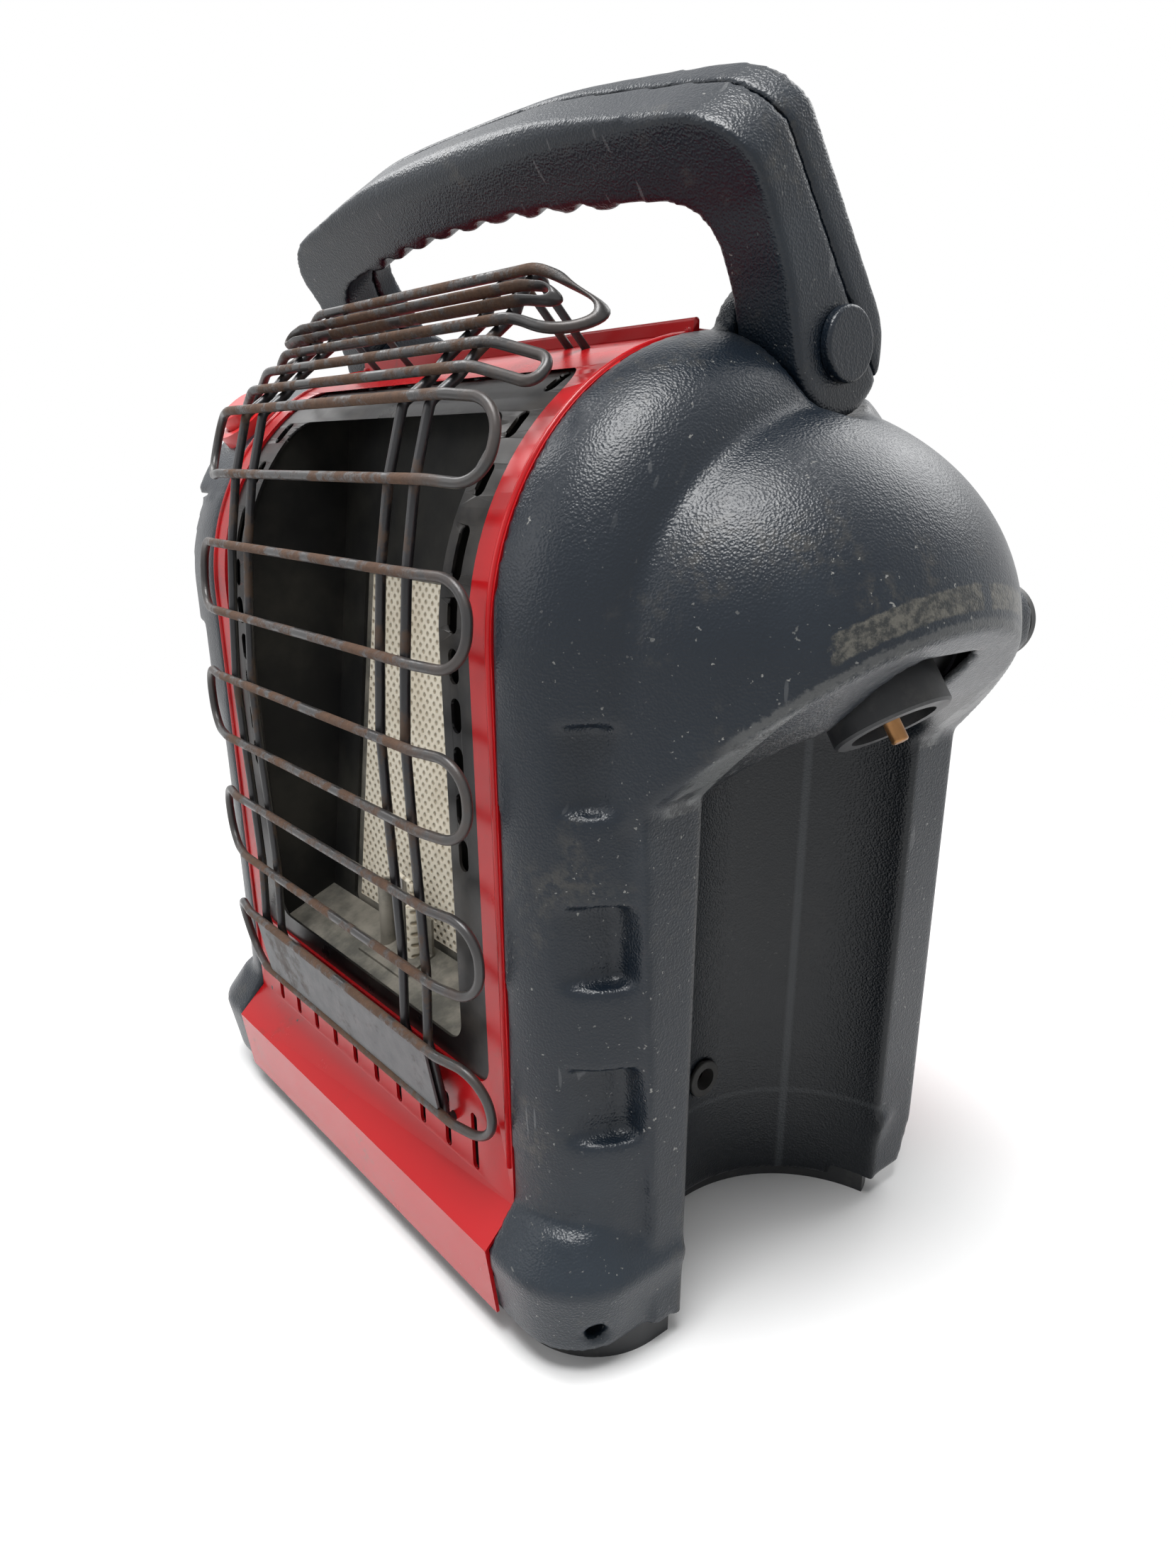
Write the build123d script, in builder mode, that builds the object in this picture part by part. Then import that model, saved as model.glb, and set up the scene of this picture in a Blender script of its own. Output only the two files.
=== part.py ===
"""Portable propane heater with a side niche for a 1 lb cylinder.

Frame: millimetres, +Z up, front faces -Y, the cylinder niche is on +X, z = 0 is the floor under
the middle of the base.
"""

import os
from math import atan, cos, pi, radians, sin, tan

from build123d import *

os.makedirs("parts", exist_ok=True)


# ---------------------------------------------------------------- driving dimensions
# Body
front_half = 97.5            # half width of the red fascia, up to the plastic sides
side_thick = 34.0            # how far a plastic side stands out from the fascia
hood_top = 315.0             # height of the red top
front_foot_y = -81.5         # front face at the skirt's upper bend
front_brow_y = -89.3         # front face carried up to the height of the top
rear_y = 89.0                # back face
front_arch = 85.0            # radius of the arch from front to top
rear_arch = 89.0             # radius from top to back
sheet = 1.2                  # red sheet steel
liner_sheet = 1.0            # black enamelled sheet
split_y = -14.0              # where the fascia ends and the hood cover begins
lip_height = 3.5             # upturned lip at the front of the hood cover

# Skirt under the window
skirt_top_z = 48.0
skirt_nose_y = -92.8
skirt_nose_z = 36.5
skirt_hem_y = -88.6
skirt_slots = 10
skirt_slot_pitch = 16.9
skirt_slot_width = 3.6
skirt_slot_low = 57.0
skirt_slot_high = 79.0

# Window and its liner
window_half = 86.5
window_low = 86.0
window_high = 304.0
window_corner = 8.0
liner_half = 69.5            # opening inside the slotted border
liner_low = 94.0
liner_high = 292.0
vent_x = 76.5                # slotted border: centre line of the slots
vent_long = 10.5
vent_wide = 5.0
vent_pitch = 14.6
vent_low_z = 163.0
vent_count = 7
arch_vents = (18.0, 31.0, 44.0, 57.0)     # angles up the arch, degrees
brow_vents = 9               # slots across the arch above the window

# Burner
tile_width = 98.0
tile_height = 134.0
tile_thick = 9.0
tile_y = -47.5               # middle of the tile's front face
tile_z = 168.5
tile_lean = 5.6              # degrees, top leaning back
frame_rim = 5.0
frame_depth = 3.0
plenum_depth = 24.0
plenum_wall = 1.5
mixer_radius = 9.0           # tube that mixes gas and air
mixer_wall = 1.2
mixer_y = -9.0
mixer_z = 155.0
mixer_start_x = -62.0
mixer_end_x = 8.0
jet_x = -79.0
jet_radius = 4.0
pipe_radius = 3.0
small_pipe = 1.8

# Base
base_height = 10.0
base_wall = 3.0
base_floor = 2.5
base_half = 131.0
base_front = -80.0
base_rear = 88.0
base_corner = 30.0

# Plastic sides
proud = 0.5                  # how far the sides stand proud of the red sheet
side_round = 31.0            # rounding of a side's outer edge
side_wall = 3.0
seam_round = 0.8
foot_band_z = 36.0           # top of the vertical band round the foot
foot_shelf_z = 50.0          # where the foot's shelf meets the side
foot_out = 6.0               # how far the foot flares out sideways
foot_front_y = -92.5
foot_rear_y = 93.0
foot_corner = 28.0
shelf_slope = 34.0           # degrees that the foot's shelf leans in
band_taper = 12.0            # degrees that the band under it leans in
foot_screw_turn = 66.0       # place of the foot's screw round its corner, degrees from the front
screw_recess = 3.6
screw_radius = 1.6
screw_head = 3.2
screw_length = 12.0
base_screw_places = ((118.0, -62.0), (118.0, 70.0))
base_post = 5.0
cavity_front_y = -55.0       # the front corner is solid behind the finger pockets
pocket_height = 26.0
pocket_pitch = 52.5
pocket_mid_z = 146.0
pocket_depth = 7.0

# Cylinder niche and dome
niche_x = 143.0              # axis of a screwed-in cylinder
niche_y = 12.0
niche_radius = 53.0          # clears a 98.4 mm cylinder
niche_wall = 2.5
niche_spring = 185.0         # height where the niche's wall turns into its domed top
niche_rise = 22.0            # height of that domed top
niche_lip_z = 4.0            # lower edge of the niche's wall
regulator_x = 143.0          # swing axis, parallel to Y
regulator_radius = 17.0
regulator_z = niche_spring + niche_rise + regulator_radius + 4.0
dome_x = 100.0
dome_z = regulator_z
dome_radius = 84.0
dome_height = 71.0
dome_wall = 3.0
jamb_out = 3.5               # the niche's frame stands this far out of the side
jamb_front_low = -52.0       # front edge of that frame at the floor, along Y
jamb_front_high = -66.5      # and at the height of the dome
eave_drop = regulator_z - regulator_x - 32.0    # the dome's underside is the plane z = x + eave_drop

# Handle
pivot_y = 16.0
pivot_z = 311.0
arm_half = 20.0              # half depth of an arm at its round lower end
arm_inner = front_half + 8.5
arm_outer = arm_inner + 22.0
handle_lean = 38.0           # lean of the grip, degrees
arm_lean = 28.0              # lean of the arms just above the pivot, degrees
fold_lean = 70.0             # how far back the arms lean when folded, degrees
grip_top = 84.0              # from the pivot, along the lean, in the middle of the grip
grip_shoulder = 75.0         # and at its ends
grip_under = 61.0            # underside in the middle
grip_under_end = 50.0        # and at the arms
grip_front = 8.0             # the grip reaches this far in front of its lean line
grip_inner_corner = 18.0
grip_round_front = 9.0
grip_round_rear = 13.0
shell_seam = 9.2             # the two shells meet this far behind the lean line
finger_drop = 3.0            # finger rests stand this far below the underside
finger_count = 9
finger_pitch = 17.0
finger_round = 9.6
grip_corner = 20.0
shell_wall = 2.6             # the handle is two hollow shells
pin_boss = 11.0              # solid round the pin inside an arm
pin_start = front_half + 1.5
pin_radius = 5.0
pin_play = 0.05
cap_radius = 10.5
cap_thick = 3.0
ear_radius = 24.0
side_gap = 0.8               # between an arm and the shoulder it turns beside

# Guard
wire = 3.2                   # wire diameter
guard_half = 94.0            # half length of a loop
guard_bend_x = 73.0          # where the loop ends bend in
front_pitch = 25.4
top_pitch = 10.6
upright_places = (48.7, 63.5)
plate_half = 66.0            # plain plate between the lowest two rods
plate_thick = 0.8
leg_places = (-19.8, -25.3)  # where each upright's top leg meets the arch, along Y
leg_top_z = 333.5            # where each top leg turns down
hook_z = 64.0                # where the uprights hook into the fascia

# Regulator
regulator_y = niche_y
regulator_swing = 36.0       # swung out at rest, degrees from upright
socket_radius = 18.0
socket_reach = 28.0          # from the swing axis to the socket's mouth
socket_depth = 13.0
socket_slot_inner = 121.5    # slot in the dome's underside, along X
socket_slot_outer = 173.5
socket_bore = 13.0
body_front_y = -26.0         # regulator body, along its swing axis
body_rear_y = 50.0
neck_radius = 10.0
neck_start_y = 49.0
rear_boss_radius = 14.0
rear_boss_y = 56.0
rear_boss_end = 91.5
rear_cap_radius = 13.0
rear_cap_thick = 4.0
peg_radius = 6.0
peg_end_y = -43.0
front_boss_radius = 9.5
front_boss_y = -33.0
supply_y = -45.0             # gas pipe that leaves the front boss
supply_start_x = 137.0
grommet_place = (13.0, 54.0)
grommet_neck = 5.5
grommet_hole = 4.4

# Controls on the left side (drawn on the right, then mirrored)
console_ledge_z = 264.5      # the shoulder above this height lies flush with the red sheet
console_rear_y = -12.0
button_x = 114.5
button_angle = 47.5          # place on the arch, degrees up from the front
button_radius = 8.8
button_height = 9.0          # how far the button stands out of the shoulder
button_travel = 4.0
collar_radius = 13.5
collar_height = 4.0
collar_sink = 1.4
knob_y = -12.0
knob_z = 238.0
knob_radius = 17.0
knob_height = 15.0
stem_radius = 3.5
igniter_radius = 10.8
igniter_length = 36.0
valve_x = 104.0              # inner face of the valve block's outer end

running_gap = 0.3            # between parts that move past each other
bore_play = 0.05             # radial play of a shaft in its bore
touch = 0.02                 # hairline between curved faces that lie against each other


# ---------------------------------------------------------------- helpers
def side_outline(grow):
    """The body's outline seen from the side, in a sketch's own (y, z), grown by `grow`."""
    with BuildSketch() as outline:
        with BuildLine():
            Polyline(
                (front_foot_y + 1.6, base_height),
                (front_brow_y, hood_top),
                (rear_y, hood_top),
                (rear_y, base_height),
                close=True,
            )
        make_face()
        fillet(outline.vertices().group_by(Axis.Y)[-1].sort_by(Axis.X)[0], front_arch)
        fillet(outline.vertices().group_by(Axis.Y)[-1].sort_by(Axis.X)[-1], rear_arch)
        if grow:
            offset(amount=grow, kind=Kind.INTERSECTION)
    return outline.sketch


def front_face_y(z):
    """Where the flat part of the front face stands at height z."""
    share = (z - base_height) / (hood_top - base_height)
    return (front_foot_y + 1.6) * (1 - share) + front_brow_y * share


front_lean = atan((front_foot_y + 1.6 - front_brow_y) / (hood_top - base_height))
arch_centre_y = front_brow_y + front_arch / tan(pi / 4 - front_lean / 2)
arch_centre_z = hood_top - front_arch


def hood_height(y):
    """Height of the red arch's outer surface at y, in front of the flat top."""
    return arch_centre_z + (front_arch**2 - (y - arch_centre_y) ** 2) ** 0.5


def arch_frame(angle, x, depth=0.0):
    """Plane on the front arch: its normal points out of the arch, its x axis along +X."""
    turn = radians(angle)
    reach = front_arch - depth
    return Plane(
        origin=(x, arch_centre_y - reach * cos(turn), arch_centre_z + reach * sin(turn)),
        x_dir=(1, 0, 0),
        z_dir=(0, -cos(turn), sin(turn)),
    )


def tile_frame_plane(depth=0.0):
    """Plane of the tile's front face, its normal towards the window, moved back by `depth`."""
    lean = radians(tile_lean)
    normal = Vector(0, -cos(lean), sin(lean))
    return Plane(origin=Vector(0, tile_y, tile_z) - normal * depth, x_dir=(1, 0, 0), z_dir=normal)


# ---------------------------------------------------------------- base pan
with BuildPart() as base_pan:
    with BuildSketch() as pan_plan:
        with Locations((0, (base_front + base_rear) / 2)):
            RectangleRounded(2 * base_half, base_rear - base_front, base_corner)
        with Locations((niche_x, niche_y)):
            Circle(niche_radius + niche_wall + running_gap, mode=Mode.SUBTRACT)
    extrude(amount=base_height)
    with BuildSketch(Plane.XY.offset(base_floor)):
        add(pan_plan.sketch)
        offset(amount=-base_wall, kind=Kind.INTERSECTION)
    extrude(amount=base_height, mode=Mode.SUBTRACT)
    # posts and countersinks for the screws that hold the sides
    with BuildSketch(Plane.XY.offset(base_floor)):
        for x, y in base_screw_places:
            with Locations((x, y), (-x, y)):
                Circle(base_post)
    extrude(amount=base_height - base_floor)
    with BuildSketch():
        for x, y in base_screw_places:
            with Locations((x, y), (-x, y)):
                Circle(screw_head + touch)
    extrude(amount=2.4, mode=Mode.SUBTRACT)
    with BuildSketch():
        for x, y in base_screw_places:
            with Locations((x, y), (-x, y)):
                Circle(screw_radius + touch)
    extrude(amount=base_height, mode=Mode.SUBTRACT)
    # air holes in the floor
    with BuildSketch():
        with GridLocations(18, 16, 8, 5):
            SlotOverall(12, 4)
    extrude(amount=base_floor, mode=Mode.SUBTRACT)
base_pan.part.label = "base_pan"
export_step(base_pan.part, "parts/base_pan.step")


# ---------------------------------------------------------------- red sheet metal
with BuildPart() as front_panel:
    with BuildSketch(Plane.YZ.offset(-front_half)):
        add(side_outline(0))
        add(side_outline(-sheet), mode=Mode.SUBTRACT)
        with Locations((split_y - 100, skirt_top_z + 200)):
            Rectangle(200, 400, mode=Mode.INTERSECT)
    extrude(amount=2 * front_half)
    skirt_face_y = front_face_y(skirt_top_z)
    with BuildSketch(Plane.YZ.offset(-front_half)):
        with BuildLine():
            Polyline(
                (skirt_face_y, skirt_top_z),
                (skirt_nose_y, skirt_nose_z),
                (skirt_hem_y, base_height),
                (skirt_hem_y + sheet, base_height),
                (skirt_nose_y + 1.3 * sheet, skirt_nose_z),
                (skirt_face_y + sheet, skirt_top_z - sheet),
                (skirt_face_y + sheet, skirt_top_z),
                close=True,
            )
        make_face()
    extrude(amount=2 * front_half)
    # window, cut straight through from the front
    with BuildSketch(Plane.XZ):
        with Locations((0, (window_low + window_high) / 2)):
            RectangleRounded(2 * window_half, window_high - window_low, window_corner)
    extrude(amount=120, mode=Mode.SUBTRACT)
    # cooling slots above the skirt
    with BuildSketch(Plane.XZ.offset(60)):
        with Locations((0, (skirt_slot_low + skirt_slot_high) / 2)):
            with GridLocations(skirt_slot_pitch, 0, skirt_slots, 1):
                SlotOverall(skirt_slot_high - skirt_slot_low, skirt_slot_width, rotation=90)
    extrude(amount=60, mode=Mode.SUBTRACT)
    # holes that the guard's uprights hook into
    for x, leg_y in ((upright_places[0], leg_places[0]), (upright_places[1], leg_places[1])):
        with BuildSketch(Plane.XZ.offset(60)):
            with Locations((x, hook_z), (-x, hook_z)):
                Circle(wire / 2 + 0.2)
        extrude(amount=40, mode=Mode.SUBTRACT)
        with BuildSketch(Plane.XY.offset(hood_top - 12)):
            with Locations((x, leg_y), (-x, leg_y)):
                Circle(wire / 2 + 0.2)
        extrude(amount=14, mode=Mode.SUBTRACT)
front_panel.part.label = "front_panel"
export_step(front_panel.part, "parts/front_panel.step")


with BuildPart() as hood_cover:
    with BuildSketch(Plane.YZ.offset(-front_half)):
        add(side_outline(0))
        add(side_outline(-sheet), mode=Mode.SUBTRACT)
        with Locations((split_y + 100, 200)):
            Rectangle(200, 380, mode=Mode.INTERSECT)
        with Locations((0, base_height)):
            Rectangle(2 * (rear_y - sheet), 4 * sheet, mode=Mode.SUBTRACT)
    extrude(amount=2 * front_half)
    # upturned lip where the fascia stops
    with BuildSketch(Plane.YZ.offset(-front_half)):
        lip_low = hood_height(split_y) - 0.6
        with Locations((split_y + sheet, (lip_low + hood_top + lip_height) / 2)):
            RectangleRounded(2 * sheet, hood_top + lip_height - lip_low, sheet * 0.9)
    extrude(amount=2 * front_half)
    # louvre slots in the back
    with BuildSketch(Plane.XZ.offset(-rear_y - 2)):
        with Locations((0, 150)):
            with GridLocations(58, 16, 3, 9):
                SlotOverall(46, 5)
    extrude(amount=6, mode=Mode.SUBTRACT)
hood_cover.part.label = "hood_cover"
export_step(hood_cover.part, "parts/hood_cover.step")


# ---------------------------------------------------------------- window liner
with BuildPart() as window_liner:
    with BuildSketch(Plane.YZ.offset(-front_half + 2)):
        add(side_outline(-sheet))
        add(side_outline(-sheet - liner_sheet), mode=Mode.SUBTRACT)
        with Locations((split_y - 108, 84 + 200)):
            Rectangle(200, 400, mode=Mode.INTERSECT)
    extrude(amount=2 * front_half - 4)
    with BuildSketch(Plane.XZ):
        with Locations((0, (liner_low + liner_high) / 2)):
            RectangleRounded(2 * liner_half, liner_high - liner_low, window_corner)
    extrude(amount=120, mode=Mode.SUBTRACT)
    # a column of slots down each side of the opening
    with BuildSketch(Plane.XZ.offset(60)):
        with Locations((0, vent_low_z + vent_pitch * (vent_count - 1) / 2)):
            with GridLocations(2 * vent_x, vent_pitch, 2, vent_count):
                SlotOverall(vent_long, vent_wide, rotation=90)
    extrude(amount=40, mode=Mode.SUBTRACT)
    for angle in arch_vents:
        for x in (-vent_x, vent_x):
            with BuildSketch(arch_frame(angle, x, 8)):
                SlotOverall(vent_long, vent_wide, rotation=90)
            extrude(amount=12, mode=Mode.SUBTRACT)
    with BuildSketch(arch_frame(62, 0, 8)):
        with GridLocations(14, 0, brow_vents, 1):
            SlotOverall(9, 3)
    extrude(amount=12, mode=Mode.SUBTRACT)
window_liner.part.label = "window_liner"
export_step(window_liner.part, "parts/window_liner.step")


# ---------------------------------------------------------------- burner chamber
chamber_outer = liner_half + 2.5
chamber_wall = 1.5
chamber_low = 88.0
liner_back = side_outline(-sheet - liner_sheet)
wall_lean = radians(tile_lean)


def wall_y(z):
    """Where the leaning back wall's rear face stands at height z."""
    return tile_y + (z - tile_z) * sin(wall_lean) / cos(wall_lean)


with BuildPart() as heat_chamber:
    for x in (-chamber_outer, chamber_outer - chamber_wall):
        with BuildSketch(Plane.YZ.offset(x)):
            add(liner_back)
            with BuildLine():
                Polyline(
                    (-120, chamber_low),
                    (wall_y(chamber_low), chamber_low),
                    (wall_y(330), 330),
                    (-120, 330),
                    close=True,
                )
            make_face(mode=Mode.INTERSECT)
        extrude(amount=chamber_wall)
heat_chamber.part.label = "heat_chamber"
export_step(heat_chamber.part, "parts/heat_chamber.step")


with BuildPart() as reflector_wall:
    with BuildSketch(Plane.YZ.offset(-chamber_outer + chamber_wall)):
        add(liner_back)
        with BuildLine():
            Polyline(
                (wall_y(chamber_low) - chamber_wall, chamber_low),
                (wall_y(chamber_low), chamber_low),
                (wall_y(330), 330),
                (wall_y(330) - chamber_wall, 330),
                close=True,
            )
        make_face(mode=Mode.INTERSECT)
    extrude(amount=2 * (chamber_outer - chamber_wall))
    with BuildSketch(tile_frame_plane()):
        RectangleRounded(tile_width + 2 * frame_rim - 3, tile_height + 2 * frame_rim - 3, 4)
    extrude(amount=4, both=True, mode=Mode.SUBTRACT)
reflector_wall.part.label = "reflector_wall"
export_step(reflector_wall.part, "parts/reflector_wall.step")


pilot_places = (                     # x, y and radius of what stands through the floor
    (-9.0, -63.6, 3.4),
    (0.0, -62.3, 2.0),
    (9.0, -63.0, 2.6),
)

with BuildPart() as chamber_floor:
    floor_back = wall_y(99) - chamber_wall - 0.2
    floor_front = front_face_y(90) + sheet + liner_sheet + 0.1
    with BuildSketch(Plane.YZ.offset(-chamber_outer + chamber_wall)):
        with BuildLine():
            Polyline(
                (floor_front, 89.0),
                (floor_back, 99.0),
                (floor_back, 100.2),
                (floor_front, 90.2),
                close=True,
            )
        make_face()
    extrude(amount=2 * (chamber_outer - chamber_wall))
    with BuildSketch(Plane.XY.offset(80)):
        for x, y, radius in pilot_places:
            with Locations((x, y)):
                Circle(radius + 0.2)
    extrude(amount=40, mode=Mode.SUBTRACT)
chamber_floor.part.label = "chamber_floor"
export_step(chamber_floor.part, "parts/chamber_floor.step")


with BuildPart() as burner_tile:
    with BuildSketch(tile_frame_plane()):
        Rectangle(tile_width, tile_height)
    extrude(amount=-tile_thick)
burner_tile.part.label = "burner_tile"
export_step(burner_tile.part, "parts/burner_tile.step")


with BuildPart() as burner_plenum:
    with BuildSketch(tile_frame_plane()):
        RectangleRounded(tile_width + 2 * frame_rim, tile_height + 2 * frame_rim, frame_rim)
    extrude(amount=-tile_thick - plenum_wall)
    with BuildSketch(tile_frame_plane(tile_thick + plenum_wall)):
        RectangleRounded(tile_width + frame_rim, tile_height + frame_rim, frame_rim)
    with BuildSketch(tile_frame_plane(plenum_depth)):
        RectangleRounded(tile_width - 26, tile_height - 46, frame_rim)
    loft()
    with BuildSketch(tile_frame_plane()):
        Rectangle(tile_width, tile_height)
    extrude(amount=-tile_thick, mode=Mode.SUBTRACT)
    with BuildSketch(tile_frame_plane(tile_thick)):
        Rectangle(tile_width - 8, tile_height - 8)
    with BuildSketch(tile_frame_plane(plenum_depth - plenum_wall)):
        Rectangle(tile_width - 30, tile_height - 50)
    loft(mode=Mode.SUBTRACT)
    with BuildSketch(Plane.XZ.offset(25)):
        with Locations((mixer_end_x, mixer_z)):
            Circle(mixer_radius - mixer_wall)
    extrude(amount=20, both=True, mode=Mode.SUBTRACT)
burner_plenum.part.label = "burner_plenum"
export_step(burner_plenum.part, "parts/burner_plenum.step")


# ---------------------------------------------------------------- plastic sides
corner_x = front_half + side_thick - side_round
side_x = front_half + side_thick


def side_solid(grow, thick, rounding):
    """A plain side: the body's outline with its outer edge rounded, drawn on the right."""
    with BuildPart() as plain:
        with BuildSketch(Plane.YZ.offset(front_half)):
            add(side_outline(grow))
        extrude(amount=thick)
        fillet(plain.faces().sort_by(Axis.X)[-1].edges().sort_by(Axis.Z)[1:], rounding)
    return plain.part


def foot_solid():
    """The flared foot: a tapered band under a sloping shelf."""
    with BuildPart() as foot:
        with BuildSketch(Plane.XY.offset(foot_band_z)) as plan:
            with Locations((front_half, (foot_front_y + foot_rear_y) / 2)):
                RectangleRounded(2 * (side_thick + foot_out), foot_rear_y - foot_front_y, foot_corner)
        extrude(amount=foot_shelf_z - foot_band_z, taper=shelf_slope)
        with BuildSketch(Plane.XY.offset(foot_band_z)):
            add(plan.sketch)
        extrude(amount=base_height - foot_band_z, taper=band_taper)
        split(bisect_by=Plane.YZ.offset(front_half), keep=Keep.TOP)
        # the rear leans in under the band
        with BuildSketch(Plane.YZ.offset(front_half)):
            with BuildLine():
                Polyline(
                    (rear_y + 1.5, foot_band_z),
                    (rear_y - 7.0, base_height),
                    (foot_rear_y + 20, base_height),
                    (foot_rear_y + 20, foot_band_z),
                    close=True,
                )
            make_face()
        extrude(amount=80, mode=Mode.SUBTRACT)
    return foot.part


def finger_pocket(middle):
    """One scooped finger pocket on the front corner, as the solid that is cut away."""
    corner_y = front_face_y(middle) - proud + side_round
    deep = side_round - pocket_depth
    start = (
        corner_x + side_round * cos(radians(58)),
        corner_y - side_round * sin(radians(58)),
    )
    end = (corner_x + deep * cos(radians(8)), corner_y - deep * sin(radians(8)))
    with BuildPart() as pocket:
        with BuildSketch(Plane.XY.offset(middle - pocket_height / 2)):
            with BuildLine():
                Polyline(start, end, (end[0] + 30, end[1]), (end[0] + 30, start[1] - 12), close=True)
            make_face()
        extrude(amount=pocket_height)
        fillet(pocket.edges().sort_by(Axis.Y)[-4:], 2)
    return pocket.part


def side_blank():
    """The solid that both sides start from, drawn on the right."""
    with BuildPart() as blank:
        add(side_solid(proud, side_thick, side_round))
        seam_edges = blank.faces().sort_by(Axis.X)[0].edges().sort_by(Axis.Z)[1:]
        fillet(seam_edges, seam_round)
        for step in (-1, 0, 1):
            add(finger_pocket(pocket_mid_z + step * pocket_pitch), mode=Mode.SUBTRACT)
        split(bisect_by=Plane.XY.offset(base_height), keep=Keep.TOP)
        add(foot_solid())
        # ear beside the handle's arm
        with BuildSketch(Plane.YZ.offset(front_half)):
            with Locations((pivot_y, pivot_z - 2)):
                Circle(ear_radius)
        extrude(amount=arm_inner - side_gap - front_half)
    return blank.part


def foot_screw_plane(out):
    """Plane square to the foot's front corner, `out` in front of the corner's surface."""
    turn = radians(foot_screw_turn)
    normal = Vector(sin(turn), -cos(turn), 0)
    corner = Vector(side_x + foot_out - foot_corner, foot_front_y + foot_corner, 18.0)
    return Plane(origin=corner + normal * (foot_corner - 4.0 + out), x_dir=(0, 0, 1), z_dir=normal)


def screw_holes():
    """Recess in the foot's corner with its screw hole, and the holes for the base's screws."""
    with BuildPart() as holes:
        with BuildSketch(foot_screw_plane(-12)):
            Circle(screw_recess)
        extrude(amount=20)
        with BuildSketch(foot_screw_plane(-12)):
            Circle(screw_radius + touch)
        extrude(amount=-screw_length)
        with BuildSketch(Plane.XY.offset(base_height)):
            with Locations(base_screw_places):
                Circle(screw_radius + touch)
        extrude(amount=2.6)
    return holes.part


def arm_notch(grow, start):
    """Room for the handle's arm in the shoulder, from its upright to its folded lean."""
    reach = arm_half + grow
    forward = radians(arm_lean)
    back = radians(fold_lean)
    with BuildPart() as notch:
        with BuildSketch(Plane.YZ.offset(start)):
            with Locations((pivot_y, pivot_z)):
                Circle(reach)
            with BuildLine():
                Polyline(
                    (pivot_y, pivot_z),
                    (pivot_y - reach * cos(forward), pivot_z - reach * sin(forward)),
                    (pivot_y - reach * cos(forward) - 80 * sin(forward),
                     pivot_z - reach * sin(forward) + 80 * cos(forward)),
                    (pivot_y + 60, pivot_z + 90),
                    (pivot_y + reach * cos(back) + 100 * sin(back),
                     pivot_z - reach * sin(back) + 100 * cos(back)),
                    (pivot_y + reach * cos(back), pivot_z - reach * sin(back)),
                    close=True,
                )
            make_face()
        extrude(amount=80)
    return notch.part


def side_cavity():
    """The hollow behind a side's outer wall, behind the finger pockets."""
    with BuildPart() as hollow:
        add(side_solid(proud - side_wall, side_thick - side_wall, side_round - side_wall))
        with BuildSketch(Plane.XY.offset(base_height + side_wall)):
            with Locations((front_half + 50, cavity_front_y + 100)):
                Rectangle(102, 200)
        extrude(amount=400, mode=Mode.INTERSECT)
        add(arm_notch(side_gap + side_wall, arm_inner - side_gap - side_wall), mode=Mode.SUBTRACT)
    return hollow.part


def eave(grow):
    """Everything under the dome's sloping underside, raised by `grow`."""
    with BuildPart() as below:
        with BuildSketch(Plane.XZ.offset(-150)):
            with BuildLine():
                Polyline(
                    (side_x - 20, side_x - 20 + eave_drop + grow),
                    (side_x + 120, side_x + 120 + eave_drop + grow),
                    (side_x + 120, -50),
                    (side_x - 20, -50),
                    close=True,
                )
            make_face()
        extrude(amount=300)
    return below.part


def niche(grow):
    """The cylinder's niche with its domed top, its wall moved out by `grow`."""
    with BuildPart() as room:
        with BuildSketch(Plane.XZ):
            with Locations((0, niche_spring)):
                Ellipse(niche_radius + grow, niche_rise + grow)
            with Locations((0, (niche_spring - 40) / 2)):
                Rectangle(2 * (niche_radius + grow), niche_spring + 40)
            with Locations((200, 100)):
                Rectangle(400, 600, mode=Mode.INTERSECT)
        revolve(axis=Axis.Z)
    return room.part.moved(Location((niche_x, niche_y, 0)))


def dome(shrink):
    """Half dome over the niche, on its round skirt, `shrink` inside the outer surface."""
    with BuildPart() as cap:
        with BuildSketch(Plane.XZ):
            Ellipse(dome_radius - shrink, dome_height - shrink)
            with Locations((0, -100)):
                Rectangle(400, 200, mode=Mode.SUBTRACT)
            with Locations((0, -35)):
                Rectangle(2 * (dome_radius - shrink), 70)
            with Locations((200, 0)):
                Rectangle(400, 400, mode=Mode.INTERSECT)
        revolve(axis=Axis.Z)
    return cap.part.moved(Location((dome_x, niche_y, dome_z)))


def regulator_plane(y):
    """Plane square to the regulator's swing axis at y, its normal pointing to the rear."""
    return Plane(origin=(regulator_x, y, regulator_z), x_dir=(1, 0, 0), z_dir=(0, 1, 0))


blank = side_blank()
cavity = side_cavity()
screws = screw_holes()

with BuildPart() as right_cavity:
    add(cavity)
    add(dome(dome_wall))
    split(bisect_by=Plane.YZ.offset(front_half), keep=Keep.TOP)
    add(eave(dome_wall * 1.4142), mode=Mode.SUBTRACT)
    add(niche(niche_wall), mode=Mode.SUBTRACT)
    add(arm_notch(side_gap + side_wall, arm_inner - side_gap - side_wall), mode=Mode.SUBTRACT)
    # bosses that carry the regulator's two pivots stay solid
    with BuildSketch(regulator_plane(rear_boss_y)):
        Circle(rear_boss_radius)
    extrude(amount=40, mode=Mode.SUBTRACT)
    with BuildSketch(regulator_plane(front_boss_y)):
        Circle(front_boss_radius)
    extrude(amount=-40, mode=Mode.SUBTRACT)

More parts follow.
